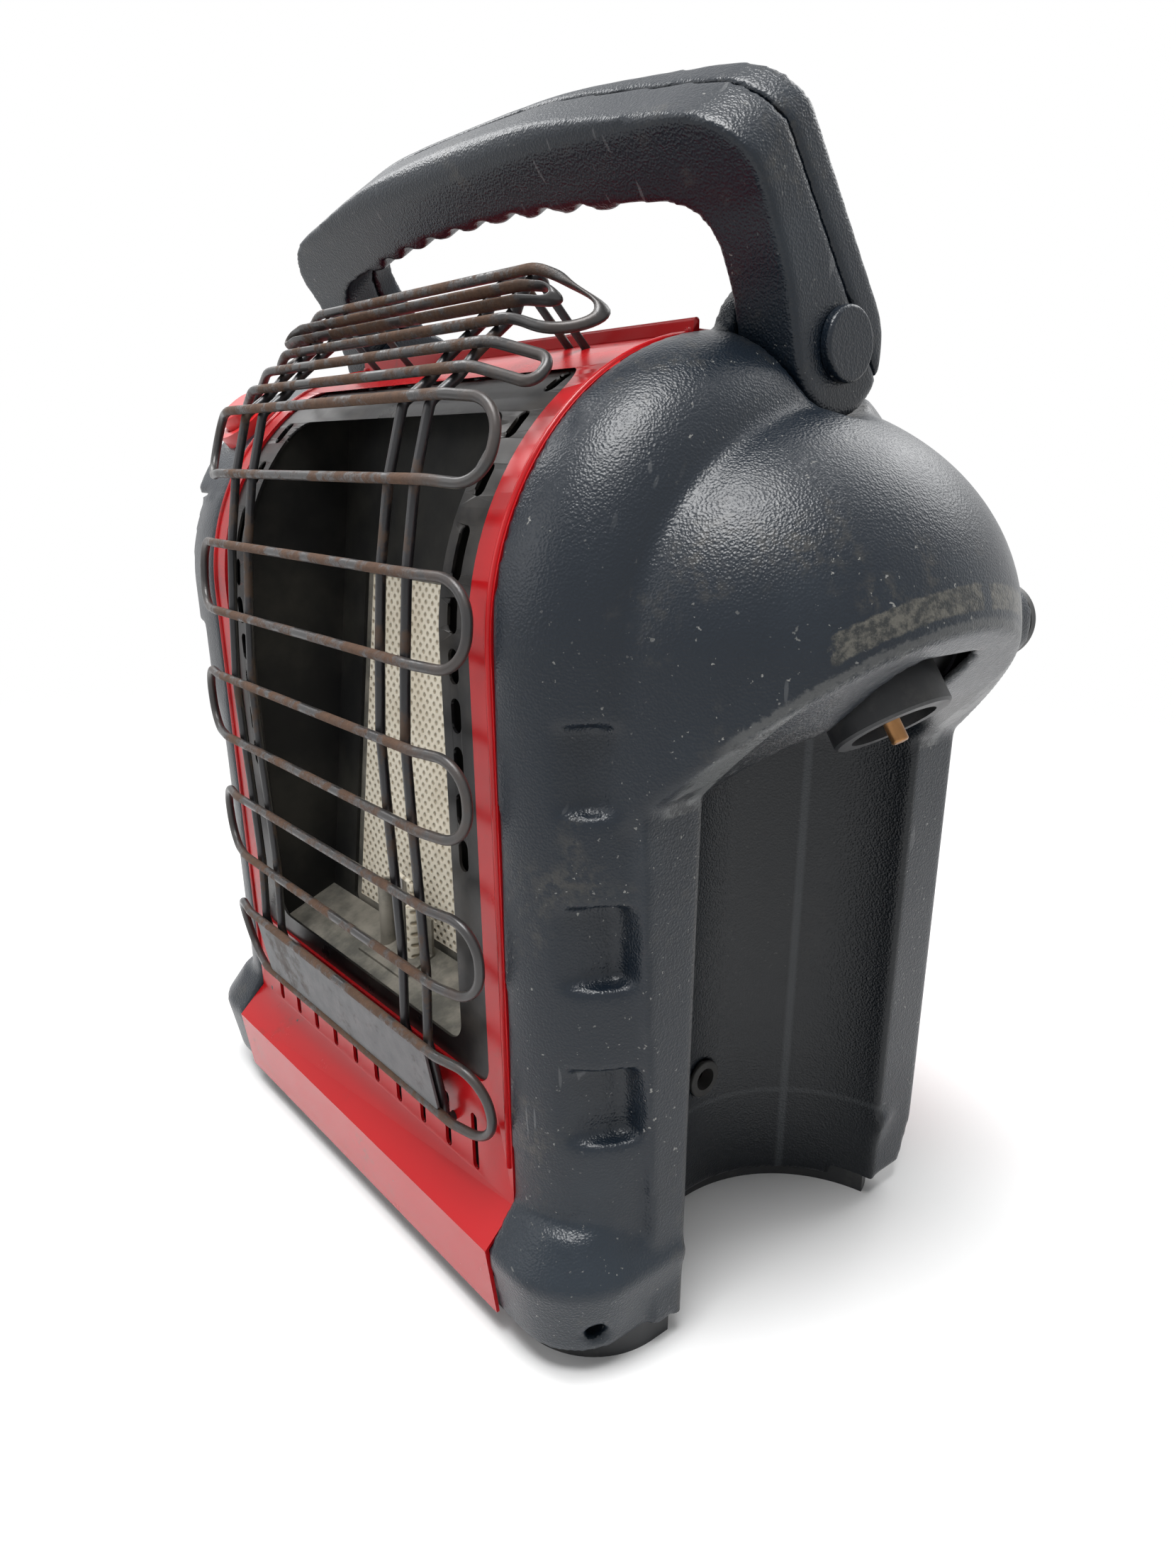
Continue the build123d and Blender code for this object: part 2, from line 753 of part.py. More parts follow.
with BuildPart() as right_side_panel:
    add(dome(0))
    split(bisect_by=Plane.YZ.offset(front_half), keep=Keep.TOP)
    add(eave(0), mode=Mode.SUBTRACT)
    add(blank)
    # the niche's frame, a little proud of the side
    with BuildPart(mode=Mode.PRIVATE) as jamb:
        with BuildSketch(Plane.XY.offset(base_height)):
            with Locations((dome_x, niche_y)):
                Circle(dome_radius)
            with Locations((front_half + (side_thick + jamb_out) / 2, niche_y)):
                Rectangle(side_thick + jamb_out, 240, mode=Mode.INTERSECT)
        extrude(amount=side_x + jamb_out + eave_drop - base_height)
        with BuildSketch(Plane.YZ.offset(front_half - 5)):
            with BuildLine():
                Polyline(
                    (jamb_front_low, 0),
                    (jamb_front_high, regulator_z),
                    (niche_y - dome_radius, regulator_z + 10),
                    (rear_y + 20, regulator_z + 10),
                    (rear_y + 1.5, foot_band_z),
                    (rear_y - 9.0, 0),
                    close=True,
                )
            make_face()
        extrude(amount=side_thick + 20, mode=Mode.INTERSECT)
    add(jamb.part)
    # the niche's wall reaches in behind the fascia and down past the base
    with BuildSketch(Plane.XY.offset(base_height)):
        with Locations((niche_x, niche_y)):
            Circle(niche_radius + niche_wall)
        with Locations((front_half - 10, niche_y)):
            Rectangle(20, 200, mode=Mode.INTERSECT)
    extrude(amount=niche_spring - base_height)
    with BuildSketch(Plane.XY.offset(niche_lip_z)):
        with Locations((niche_x, niche_y)):
            Circle(niche_radius + niche_wall)
        with Locations((side_x + jamb_out - 40, niche_y)):
            Rectangle(80, 200, mode=Mode.INTERSECT)
    extrude(amount=base_height - niche_lip_z)
    with BuildSketch(regulator_plane(rear_boss_y)):
        Circle(rear_boss_radius)
    extrude(amount=rear_boss_end - rear_boss_y)
    add(right_cavity.part, mode=Mode.SUBTRACT)
    add(niche(0), mode=Mode.SUBTRACT)
    add(screws, mode=Mode.SUBTRACT)
    add(arm_notch(side_gap, arm_inner - side_gap), mode=Mode.SUBTRACT)
    # slot for the socket, and bearings for the regulator's two pivots
    with BuildSketch(Plane.XY.offset(150)):
        with Locations(((socket_slot_inner + socket_slot_outer) / 2, niche_y)):
            RectangleRounded(socket_slot_outer - socket_slot_inner, 2 * socket_radius + 3, 9)
    extrude(amount=85, mode=Mode.SUBTRACT)
    with BuildSketch(regulator_plane(neck_start_y)):
        Circle(neck_radius + bore_play)
    extrude(amount=60, mode=Mode.SUBTRACT)
    with BuildSketch(regulator_plane(front_boss_y)):
        Circle(peg_radius + bore_play)
    extrude(amount=peg_end_y - front_boss_y - running_gap, mode=Mode.SUBTRACT)
    # bore for the handle's pin, hole with a grommet, hole for the gas pipe
    with BuildSketch(Plane.YZ.offset(pin_start - running_gap)):
        with Locations((pivot_y, pivot_z)):
            Circle(pin_radius + touch)
    extrude(amount=40, mode=Mode.SUBTRACT)
    with BuildSketch(Plane.YZ.offset(niche_x - niche_radius - 10)):
        with Locations(grommet_place):
            Circle(grommet_neck + touch)
    extrude(amount=20, mode=Mode.SUBTRACT)
    with BuildSketch(Plane.YZ.offset(supply_start_x)):
        with Locations((supply_y, regulator_z)):
            Circle(pipe_radius + touch)
    extrude(amount=-40, mode=Mode.SUBTRACT)
right_side_panel.part.label = "right_side_panel"
export_step(right_side_panel.part, "parts/right_side_panel.step")


# ---------------------------------------------------------------- left side with the controls
def console_zone(grow, above, behind):
    """The front shoulder above the ledge, out to the outline grown by `grow`."""
    with BuildPart() as zone:
        with BuildSketch(Plane.YZ.offset(-side_x - 20)):
            add(side_outline(grow))
            with Locations((behind - 100, above + 100)):
                Rectangle(200, 200, mode=Mode.INTERSECT)
        extrude(amount=side_x + 20 - front_half)
    return zone.part


with BuildPart() as left_side_panel:
    mirror(blank, about=Plane.YZ)
    add(console_zone(20, console_ledge_z, console_rear_y), mode=Mode.SUBTRACT)
    with BuildPart(mode=Mode.PRIVATE) as console:
        add(console_zone(0, console_ledge_z, console_rear_y))
        with BuildSketch(Plane.YZ.offset(-side_x - 20)):
            Rectangle(900, 900)
        extrude(amount=20, mode=Mode.SUBTRACT)
        fillet(console.faces().sort_by(Axis.X)[0].edges().filter_by(GeomType.CIRCLE), 4)
    add(console.part)
    with BuildPart(mode=Mode.PRIVATE) as left_cavity:
        mirror(cavity, about=Plane.YZ)
        add(console_zone(20, console_ledge_z - side_wall, console_rear_y + side_wall), mode=Mode.SUBTRACT)
    add(left_cavity.part, mode=Mode.SUBTRACT)
    with BuildPart(mode=Mode.PRIVATE) as hollow_shoulder:
        add(console_zone(-side_wall, console_ledge_z - side_wall - 1, console_rear_y + side_wall))
        with BuildSketch(Plane.YZ.offset(-side_x - 20)):
            with Locations((cavity_front_y - 100, 200)):
                Rectangle(200, 400)
        extrude(amount=100, mode=Mode.SUBTRACT)
        with BuildSketch(Plane.YZ.offset(-side_x - 20)):
            Rectangle(900, 900)
        extrude(amount=20 + side_wall + 2, mode=Mode.SUBTRACT)
    add(hollow_shoulder.part, mode=Mode.SUBTRACT)
    mirror(arm_notch(side_gap, arm_inner - side_gap), about=Plane.YZ, mode=Mode.SUBTRACT)
    mirror(screws, about=Plane.YZ, mode=Mode.SUBTRACT)
    # seat and hole for the igniter, bore for the handle's pin, hole for the control stem
    with BuildSketch(arch_frame(button_angle, -button_x, collar_sink)):
        Circle(collar_radius + touch)
    extrude(amount=10, mode=Mode.SUBTRACT)
    with BuildSketch(arch_frame(button_angle, -button_x, collar_sink)):
        Circle(igniter_radius + touch)
    extrude(amount=-60, mode=Mode.SUBTRACT)
    with BuildSketch(Plane.YZ.offset(-pin_start + running_gap)):
        with Locations((pivot_y, pivot_z)):
            Circle(pin_radius + touch)
    extrude(amount=-40, mode=Mode.SUBTRACT)
    with BuildSketch(Plane.YZ.offset(-side_x - 10)):
        with Locations((knob_y, knob_z)):
            Circle(stem_radius + running_gap)
    extrude(amount=20, mode=Mode.SUBTRACT)
left_side_panel.part.label = "left_side_panel"
export_step(left_side_panel.part, "parts/left_side_panel.step")


# ---------------------------------------------------------------- controls
with BuildPart() as igniter_collar:
    with BuildSketch(arch_frame(button_angle, -button_x, collar_sink)):
        Circle(collar_radius)
        Circle(button_radius + running_gap, mode=Mode.SUBTRACT)
    extrude(amount=collar_sink + collar_height)
    fillet(igniter_collar.edges().filter_by(GeomType.CIRCLE).sort_by(Axis.Z)[-1], 1.5)
igniter_collar.part.label = "igniter_collar"
export_step(igniter_collar.part, "parts/igniter_collar.step")


with BuildPart() as igniter_button:
    with BuildSketch(arch_frame(button_angle, -button_x, collar_sink + 6)):
        Circle(button_radius)
    extrude(amount=collar_sink + 6 + button_height)
    fillet(igniter_button.faces().sort_by(Axis.Z)[-1].edges(), 1.5)
igniter_button.part.label = "igniter_button"
export_step(igniter_button.part, "parts/igniter_button.step")


with BuildPart() as igniter_body:
    with BuildSketch(arch_frame(button_angle, -button_x, collar_sink)):
        Circle(igniter_radius)
    extrude(amount=-igniter_length)
    with BuildSketch(arch_frame(button_angle, -button_x, collar_sink)):
        Circle(button_radius + running_gap)
    extrude(amount=-6 - button_travel - 1, mode=Mode.SUBTRACT)
    with BuildSketch(arch_frame(button_angle, -button_x, collar_sink + igniter_length)):
        Circle(3)
    extrude(amount=-8)
igniter_body.part.label = "igniter_body"
export_step(igniter_body.part, "parts/igniter_body.step")


stem_plane = Plane(origin=(-side_x, knob_y, knob_z), x_dir=(0, 1, 0), z_dir=(-1, 0, 0))

with BuildPart() as control_knob:
    with BuildSketch(stem_plane.offset(running_gap + 0.5)):
        Circle(knob_radius)
    extrude(amount=5)
    with BuildSketch(stem_plane.offset(running_gap + 5.5)):
        Circle(knob_radius - 2.5)
        with PolarLocations(knob_radius - 2, 12):
            Circle(1.8, mode=Mode.SUBTRACT)
    extrude(amount=knob_height - 5, taper=4)
    fillet(control_knob.faces().sort_by(Axis.X)[0].edges(), 0.8)
    with BuildSketch(stem_plane):
        Circle(stem_radius + touch)
    extrude(amount=8, mode=Mode.SUBTRACT)
    # pointer rib
    with BuildSketch(stem_plane.offset(knob_height - 1)):
        with Locations((0, 7)):
            RectangleRounded(2.4, 12, 1)
    extrude(amount=2.5)
control_knob.part.label = "control_knob"
export_step(control_knob.part, "parts/control_knob.step")


with BuildPart() as knob_stem:
    with BuildSketch(stem_plane.offset(8)):
        Circle(stem_radius)
    extrude(amount=-(8 + side_x - valve_x - 4))
knob_stem.part.label = "knob_stem"
export_step(knob_stem.part, "parts/knob_stem.step")


with BuildPart() as control_valve:
    with BuildSketch(Plane.YZ.offset(-valve_x)):
        with Locations((knob_y, knob_z)):
            RectangleRounded(28, 26, 4)
    extrude(amount=24)
    with BuildSketch(Plane.YZ.offset(-valve_x)):
        with Locations((knob_y, knob_z)):
            Circle(9)
    extrude(amount=-(side_x - side_wall - valve_x))
    with BuildSketch(Plane.YZ.offset(-valve_x - 14)):
        with Locations((knob_y, knob_z)):
            RegularPolygon(11, 6)
    extrude(amount=6)
    with BuildSketch(Plane.YZ.offset(-side_x)):
        with Locations((knob_y, knob_z)):
            Circle(stem_radius + bore_play)
    extrude(amount=side_x - valve_x + 5, mode=Mode.SUBTRACT)
    # outlets below and behind
    with BuildSketch(Plane.XY.offset(knob_z - 13)):
        with Locations((-valve_x + 6, knob_y), (-valve_x + 18, knob_y)):
            Circle(4.5)
    extrude(amount=-6)
    with BuildSketch(Plane.XZ.offset(-knob_y - 14)):
        with Locations((-valve_x + 12, regulator_z)):
            Circle(5)
    extrude(amount=-6)
    with BuildSketch(Plane.XY.offset(knob_z - 20)):
        with Locations((-valve_x + 6, knob_y)):
            Circle(small_pipe + touch)
        with Locations((-valve_x + 18, knob_y)):
            Circle(pipe_radius + touch)
    extrude(amount=6, mode=Mode.SUBTRACT)
    with BuildSketch(Plane.XZ.offset(-knob_y - 21)):
        with Locations((-valve_x + 12, regulator_z)):
            Circle(pipe_radius + touch)
    extrude(amount=6, mode=Mode.SUBTRACT)
control_valve.part.label = "control_valve"
export_step(control_valve.part, "parts/control_valve.step")


# ---------------------------------------------------------------- gas pipes
with BuildPart() as supply_pipe:
    with BuildLine() as supply_path:
        FilletPolyline(
            (supply_start_x - 0.5, supply_y, regulator_z),
            (92, supply_y, regulator_z),
            (70, 34, regulator_z),
            (-valve_x + 12, 34, regulator_z),
            (-valve_x + 12, knob_y + 15.3, regulator_z),
            radius=12,
        )
    with BuildSketch(Plane(supply_path.line @ 0, z_dir=supply_path.line % 0)):
        Circle(pipe_radius)
    sweep(path=supply_path.line)
supply_pipe.part.label = "supply_pipe"
export_step(supply_pipe.part, "parts/supply_pipe.step")


with BuildPart() as burner_pipe:
    with BuildLine() as burner_path:
        FilletPolyline(
            (-valve_x + 18, knob_y, knob_z - 14.3),
            (-valve_x + 18, knob_y, mixer_z + 34),
            (-valve_x + 18, mixer_y, mixer_z),
            (jet_x, mixer_y, mixer_z),
            radius=(6, 3.9),
        )
    with BuildSketch(Plane(burner_path.line @ 0, z_dir=burner_path.line % 0)):
        Circle(pipe_radius)
    sweep(path=burner_path.line)
burner_pipe.part.label = "burner_pipe"
export_step(burner_pipe.part, "parts/burner_pipe.step")


with BuildPart() as pilot_pipe:
    with BuildLine() as pilot_path:
        FilletPolyline(
            (-valve_x + 6, knob_y, knob_z - 14.3),
            (-valve_x + 6, knob_y, 76),
            (-55, pilot_places[0][1], 76),
            (pilot_places[0][0], pilot_places[0][1], 76),
            (pilot_places[0][0], pilot_places[0][1], 92),
            radius=9,
        )
    with BuildSketch(Plane(pilot_path.line @ 0, z_dir=pilot_path.line % 0)):
        Circle(small_pipe)
    sweep(path=pilot_path.line)
pilot_pipe.part.label = "pilot_pipe"
export_step(pilot_pipe.part, "parts/pilot_pipe.step")


mixer_plane = Plane(origin=(mixer_start_x, mixer_y, mixer_z), x_dir=(0, 1, 0), z_dir=(1, 0, 0))
plenum_rear = tile_frame_plane(plenum_depth)

with BuildPart() as venturi_tube:
    with BuildLine() as mixer_path:
        FilletPolyline(
            (mixer_start_x, mixer_y, mixer_z),
            (mixer_end_x, mixer_y, mixer_z),
            (mixer_end_x, mixer_y - 30, mixer_z),
            radius=12,
        )
    with BuildSketch(mixer_plane):
        Circle(mixer_radius)
    sweep(path=mixer_path.line)
    with BuildSketch(mixer_plane):
        Circle(mixer_radius + 3)
    with BuildSketch(mixer_plane.offset(10)):
        Circle(mixer_radius)
    loft()
    with BuildSketch(mixer_plane):
        Circle(mixer_radius - mixer_wall)
    sweep(path=mixer_path.line, mode=Mode.SUBTRACT)
    # everything in front of the plenum's back is cut off
    with BuildSketch(plenum_rear):
        Rectangle(100, 100)
    extrude(amount=40, mode=Mode.SUBTRACT)
    # two bars that hold the jet in front of the open mouth
    with BuildSketch(mixer_plane.offset(-14)):
        with Locations((0, mixer_radius + 1.5), (0, -mixer_radius - 1.5)):
            Rectangle(5, 2)
    extrude(amount=16)
    with BuildSketch(mixer_plane.offset(-14)):
        Circle(mixer_radius + 2.5)
        Circle(jet_radius + touch, mode=Mode.SUBTRACT)
    extrude(amount=1.5)
venturi_tube.part.label = "venturi_tube"
export_step(venturi_tube.part, "parts/venturi_tube.step")


with BuildPart() as gas_jet:
    with BuildSketch(mixer_plane.offset(-20)):
        Circle(jet_radius)
    extrude(amount=12)
    with BuildSketch(mixer_plane.offset(-20)):
        RegularPolygon(6, 6)
    extrude(amount=6)
    with BuildSketch(mixer_plane.offset(-20)):
        Circle(pipe_radius + touch)
    extrude(amount=3, mode=Mode.SUBTRACT)
    with BuildSketch(mixer_plane.offset(-8)):
        Circle(jet_radius)
        Circle(1.0)
    extrude(amount=3, taper=30)
gas_jet.part.label = "gas_jet"
export_step(gas_jet.part, "parts/gas_jet.step")


# ---------------------------------------------------------------- pilot in front of the tile
def floor_top(y):
    """Height of the sloping chamber floor at y."""
    return 90.2 + (y - floor_front) / (floor_back - floor_front) * 10.0


with BuildPart() as pilot_bracket:
    with BuildSketch(Plane.YZ.offset(-17)):
        with BuildLine():
            Polyline(
                (-73, floor_top(-73)),
                (-59, floor_top(-59)),
                (-59, 114),
                (-60, 114),
                (-60, floor_top(-60) + 1),
                (-73, floor_top(-73) + 1),
                close=True,
            )
        make_face()
    extrude(amount=34)
    with BuildSketch(Plane.XY.offset(80)):
        for x, y, radius in pilot_places:
            with Locations((x, y)):
                Circle(radius + 0.1)
    extrude(amount=40, mode=Mode.SUBTRACT)
pilot_bracket.part.label = "pilot_bracket"
export_step(pilot_bracket.part, "parts/pilot_bracket.step")


with BuildPart() as pilot_burner:
    with BuildSketch(Plane.XY.offset(89)):
        with Locations(pilot_places[0][:2]):
            Circle(pilot_places[0][2])
    extrude(amount=29)
    with BuildSketch(Plane.XY.offset(88)):
        with Locations(pilot_places[0][:2]):
            Circle(small_pipe + touch)
    extrude(amount=4.2, mode=Mode.SUBTRACT)
    with BuildSketch(Plane.XY.offset(118)):
        with Locations(pilot_places[0][:2]):
            Circle(pilot_places[0][2] + 0.1)
            Circle(1.6, mode=Mode.SUBTRACT)
    extrude(amount=5)
    with BuildSketch(Plane.XZ.offset(-pilot_places[0][1])):
        with Locations((pilot_places[0][0], 121)):
            Rectangle(2.4, 2.4)
    extrude(amount=-5, mode=Mode.SUBTRACT)
pilot_burner.part.label = "pilot_burner"
export_step(pilot_burner.part, "parts/pilot_burner.step")


with BuildPart() as thermocouple:
    with BuildSketch(Plane.XY.offset(84)):
        with Locations(pilot_places[1][:2]):
            Circle(pilot_places[1][2])
    extrude(amount=44)
    fillet(thermocouple.faces().sort_by(Axis.Z)[-1].edges(), 1.5)
thermocouple.part.label = "thermocouple"
export_step(thermocouple.part, "parts/thermocouple.step")


with BuildPart() as igniter_electrode:
    with BuildSketch(Plane.XY.offset(86)):
        with Locations(pilot_places[2][:2]):
            Circle(pilot_places[2][2])
    extrude(amount=32)
    with BuildLine() as spark_path:
        FilletPolyline(
            (pilot_places[2][0], pilot_places[2][1], 117.5),
            (pilot_places[2][0], pilot_places[2][1], 127),
            (pilot_places[2][0] - 9, pilot_places[2][1], 128),
            radius=2,
        )
    with BuildSketch(Plane(spark_path.line @ 0, z_dir=spark_path.line % 0)):
        Circle(0.8)
    sweep(path=spark_path.line)
igniter_electrode.part.label = "igniter_electrode"
export_step(igniter_electrode.part, "parts/igniter_electrode.step")


with BuildPart() as tip_over_switch:
    with BuildSketch(Plane.XY.offset(base_floor)):
        with Locations((-40, 60)):
            RectangleRounded(26, 18, 3)
    extrude(amount=20)
    with BuildSketch(Plane.XY.offset(base_floor + 20)):
        with Locations((-46, 60), (-34, 60)):
            Rectangle(1, 6)
    extrude(amount=7)
tip_over_switch.part.label = "tip_over_switch"
export_step(tip_over_switch.part, "parts/tip_over_switch.step")


# ---------------------------------------------------------------- regulator in the dome
def swing_plane(reach):
    """Plane square to the socket, `reach` out from the regulator's swing axis."""
    swing = radians(regulator_swing)
    out = Vector(sin(swing), 0, -cos(swing))
    place = Vector(regulator_x, regulator_y, regulator_z) + out * reach
    return Plane(origin=place, x_dir=(0, 1, 0), z_dir=out)


with BuildPart() as regulator_body:
    with BuildSketch(regulator_plane(body_front_y)):
        Circle(regulator_radius)
    extrude(amount=body_rear_y - body_front_y)
    fillet(regulator_body.edges().filter_by(GeomType.CIRCLE), 2)
    with BuildSketch(regulator_plane(body_rear_y)):
        Circle(neck_radius)
    extrude(amount=rear_boss_end + running_gap - body_rear_y)
    with BuildSketch(regulator_plane(body_front_y)):
        Circle(peg_radius)
    extrude(amount=peg_end_y - body_front_y)
    # two ribs round the body
    for y in (body_front_y + 8, body_rear_y - 10):
        with BuildSketch(regulator_plane(y)):
            Circle(regulator_radius + 1)
        extrude(amount=2)
regulator_body.part.label = "regulator_body"
export_step(regulator_body.part, "parts/regulator_body.step")


with BuildPart() as regulator_cap:
    with BuildSketch(regulator_plane(rear_boss_end + running_gap)):
        Circle(rear_cap_radius)
    extrude(amount=rear_cap_thick)
    fillet(regulator_cap.faces().sort_by(Axis.Y)[-1].edges(), 1.5)
    with BuildSketch(regulator_plane(rear_boss_end + running_gap + rear_cap_thick)):
        SlotOverall(14, 2.4)
    extrude(amount=-1.2, mode=Mode.SUBTRACT)
regulator_cap.part.label = "regulator_cap"
export_step(regulator_cap.part, "parts/regulator_cap.step")


with BuildPart() as cylinder_socket:
    with BuildSketch(swing_plane(12)):
        Circle(socket_radius)
    extrude(amount=socket_reach - 12)
    chamfer(cylinder_socket.faces().sort_by(Axis.Z)[0].edges(), 0.8)
    with BuildSketch(swing_plane(socket_reach)):
        Circle(socket_bore)
    extrude(amount=-(socket_reach - regulator_radius - 1.5), mode=Mode.SUBTRACT)
    with BuildSketch(regulator_plane(body_front_y - 20)):
        Circle(regulator_radius + touch)
    extrude(amount=100, mode=Mode.SUBTRACT)
cylinder_socket.part.label = "cylinder_socket"
export_step(cylinder_socket.part, "parts/cylinder_socket.step")


with BuildPart() as valve_pin:
    with BuildSketch(swing_plane(regulator_radius + 1.5)):
        Circle(6)
    extrude(amount=2)
    with BuildSketch(swing_plane(regulator_radius + 3.5)):
        Circle(2.6)
    extrude(amount=5.5)
    fillet(valve_pin.faces().sort_by(Axis.Z)[0].edges(), 0.8)
valve_pin.part.label = "valve_pin"
export_step(valve_pin.part, "parts/valve_pin.step")


with BuildPart() as niche_grommet:
    wall_x = niche_x - niche_radius
    with BuildSketch(Plane.YZ.offset(wall_x - niche_wall - 1)):
        with Locations(grommet_place):
            Circle(grommet_neck)
    extrude(amount=niche_wall + 1.7)
    with BuildSketch(Plane.YZ.offset(wall_x + 0.7)):
        with Locations(grommet_place):
            Circle(grommet_neck + 1.8)
    extrude(amount=1.2)
    fillet(niche_grommet.faces().sort_by(Axis.X)[-1].edges(), 0.6)
    with BuildSketch(Plane.YZ.offset(wall_x - 10)):
        with Locations(grommet_place):
            Circle(grommet_hole)
    extrude(amount=20, mode=Mode.SUBTRACT)
niche_grommet.part.label = "niche_grommet"
export_step(niche_grommet.part, "parts/niche_grommet.step")


# ---------------------------------------------------------------- carrying handle
lean = radians(handle_lean)
grip_plane = Plane(
    origin=(0, pivot_y, pivot_z), x_dir=(1, 0, 0), z_dir=(0, -cos(lean), -sin(lean))
)


def lean_point(along, forward):
    """A point beside the handle's lean line through the pivot, as (y, z)."""
    return (
        pivot_y - along * sin(lean) - forward * cos(lean),
        pivot_z + along * cos(lean) - forward * sin(lean),
    )


def under_height(x):
    """Where the grip's arched underside stands at x, along the lean."""
    return grip_under - (grip_under - grip_under_end) * (x / arm_inner) ** 2


def handle_front_view(shrink):
    """The handle seen square on: two arms joined by an arched grip."""
    outer = arm_outer - shrink
    inner = arm_inner + shrink
    with BuildSketch() as opening:
        with BuildLine():
            Polyline(
                (inner, grip_under_end + shrink),
                (inner, -60),
                (-inner, -60),
                (-inner, grip_under_end + shrink),
            )
            ThreePointArc(
                (-inner, grip_under_end + shrink),
                (0, grip_under + shrink),
                (inner, grip_under_end + shrink),
            )
        make_face()
        fillet(opening.vertices().group_by(Axis.Y)[-1], grip_inner_corner + shrink)
    with BuildSketch() as view:
        with BuildLine():
            Polyline(
                (outer, grip_shoulder - shrink),
                (outer, -40),
                (-outer, -40),
                (-outer, grip_shoulder - shrink),
            )
            ThreePointArc(
                (-outer, grip_shoulder - shrink),
                (0, grip_top - shrink),
                (outer, grip_shoulder - shrink),
            )
        make_face()
        fillet(view.vertices().group_by(Axis.Y)[-1], grip_corner - shrink)
        add(opening.sketch, mode=Mode.SUBTRACT)
    return view.sketch


def handle_side_view(shrink):
    """The handle seen from the side: a tapering arm with a round lower end."""
    with BuildSketch() as view:
        with BuildLine():
            FilletPolyline(
                lean_point(0.5 * arm_half, 0.866 * arm_half),
                lean_point(0.43 * grip_under, grip_front + 2.9),
                lean_point(0.77 * grip_under, grip_front - 0.4),
                lean_point(grip_top + 0.5, grip_front),
                lean_point(grip_top + 0.5, -arm_half),
                lean_point(0, -arm_half),
                radius=(0, 40, 40, grip_round_front, grip_round_rear, 0),
                close=True,
            )
        make_face()
        with Locations((pivot_y, pivot_z)):
            Circle(arm_half)
        if shrink:
            offset(amount=-shrink)
    return view.sketch


with BuildPart() as handle_solid:
    with BuildSketch(grip_plane):
        add(handle_front_view(0))
    extrude(amount=70, both=True)
    with BuildSketch(Plane.YZ.offset(-arm_outer - 5)):
        add(handle_side_view(0))
    extrude(amount=2 * arm_outer + 10, mode=Mode.INTERSECT)
    # finger rests under the grip
    with BuildSketch(grip_plane) as grip_fingers:
        for number in range(finger_count):
            finger_x = (number - (finger_count - 1) / 2) * finger_pitch
            with Locations((finger_x, under_height(finger_x) + finger_round - finger_drop)):
                Circle(finger_round)
    extrude(amount=grip_front - 1.5)
    extrude(grip_fingers.sketch, amount=-5)

with BuildPart() as handle_core:
    with BuildSketch(grip_plane):
        add(handle_front_view(shell_wall))
    extrude(amount=70, both=True)
    with BuildSketch(Plane.YZ.offset(-arm_outer - 5)):
        add(handle_side_view(shell_wall))
    extrude(amount=2 * arm_outer + 10, mode=Mode.INTERSECT)
    with BuildSketch(Plane.YZ.offset(-arm_outer - 5)):
        with Locations((pivot_y, pivot_z)):
            Circle(pin_boss)
    extrude(amount=2 * arm_outer + 10, mode=Mode.SUBTRACT)

with BuildPart() as handle_shell:
    add(handle_solid.part)
    add(handle_core.part, mode=Mode.SUBTRACT)
    with BuildSketch(Plane.YZ.offset(-arm_outer - 5)):
        with Locations((pivot_y, pivot_z)):
            Circle(pin_radius + bore_play)
    extrude(amount=2 * arm_outer + 10, mode=Mode.SUBTRACT)

with BuildSketch(Plane.YZ.offset(-arm_outer - 5)) as rear_zone:
    with BuildLine():
        Polyline(
            lean_point(-40, -shell_seam),
            lean_point(110, -shell_seam),
            lean_point(110, -60),
            lean_point(-40, -60),
            close=True,
        )
    make_face()

with BuildPart() as handle_front_shell:
    add(handle_shell.part)
    extrude(rear_zone.sketch, amount=2 * arm_outer + 10, mode=Mode.SUBTRACT)
handle_front_shell.part.label = "handle_front_shell"
export_step(handle_front_shell.part, "parts/handle_front_shell.step")

with BuildPart() as handle_rear_shell:
    add(handle_shell.part)
    extrude(rear_zone.sketch, amount=2 * arm_outer + 10, mode=Mode.INTERSECT)
handle_rear_shell.part.label = "handle_rear_shell"
export_step(handle_rear_shell.part, "parts/handle_rear_shell.step")


with BuildPart() as pivot_pins:
    with BuildSketch(Plane.YZ.offset(pin_start)):
        with Locations((pivot_y, pivot_z)):
            Circle(pin_radius)
    extrude(amount=arm_outer + running_gap - pin_start)
    mirror(about=Plane.YZ)
pivot_pins.part.label = "pivot_pins"
export_step(pivot_pins.part, "parts/pivot_pins.step")


with BuildPart() as pivot_caps:
    with BuildSketch(Plane.YZ.offset(arm_outer + running_gap)):
        with Locations((pivot_y, pivot_z)):
            Circle(cap_radius)
    extrude(amount=cap_thick)
    fillet(pivot_caps.faces().sort_by(Axis.X)[-1].edges(), 1.2)
    mirror(about=Plane.YZ)
pivot_caps.part.label = "pivot_caps"
export_step(pivot_caps.part, "parts/pivot_caps.step")


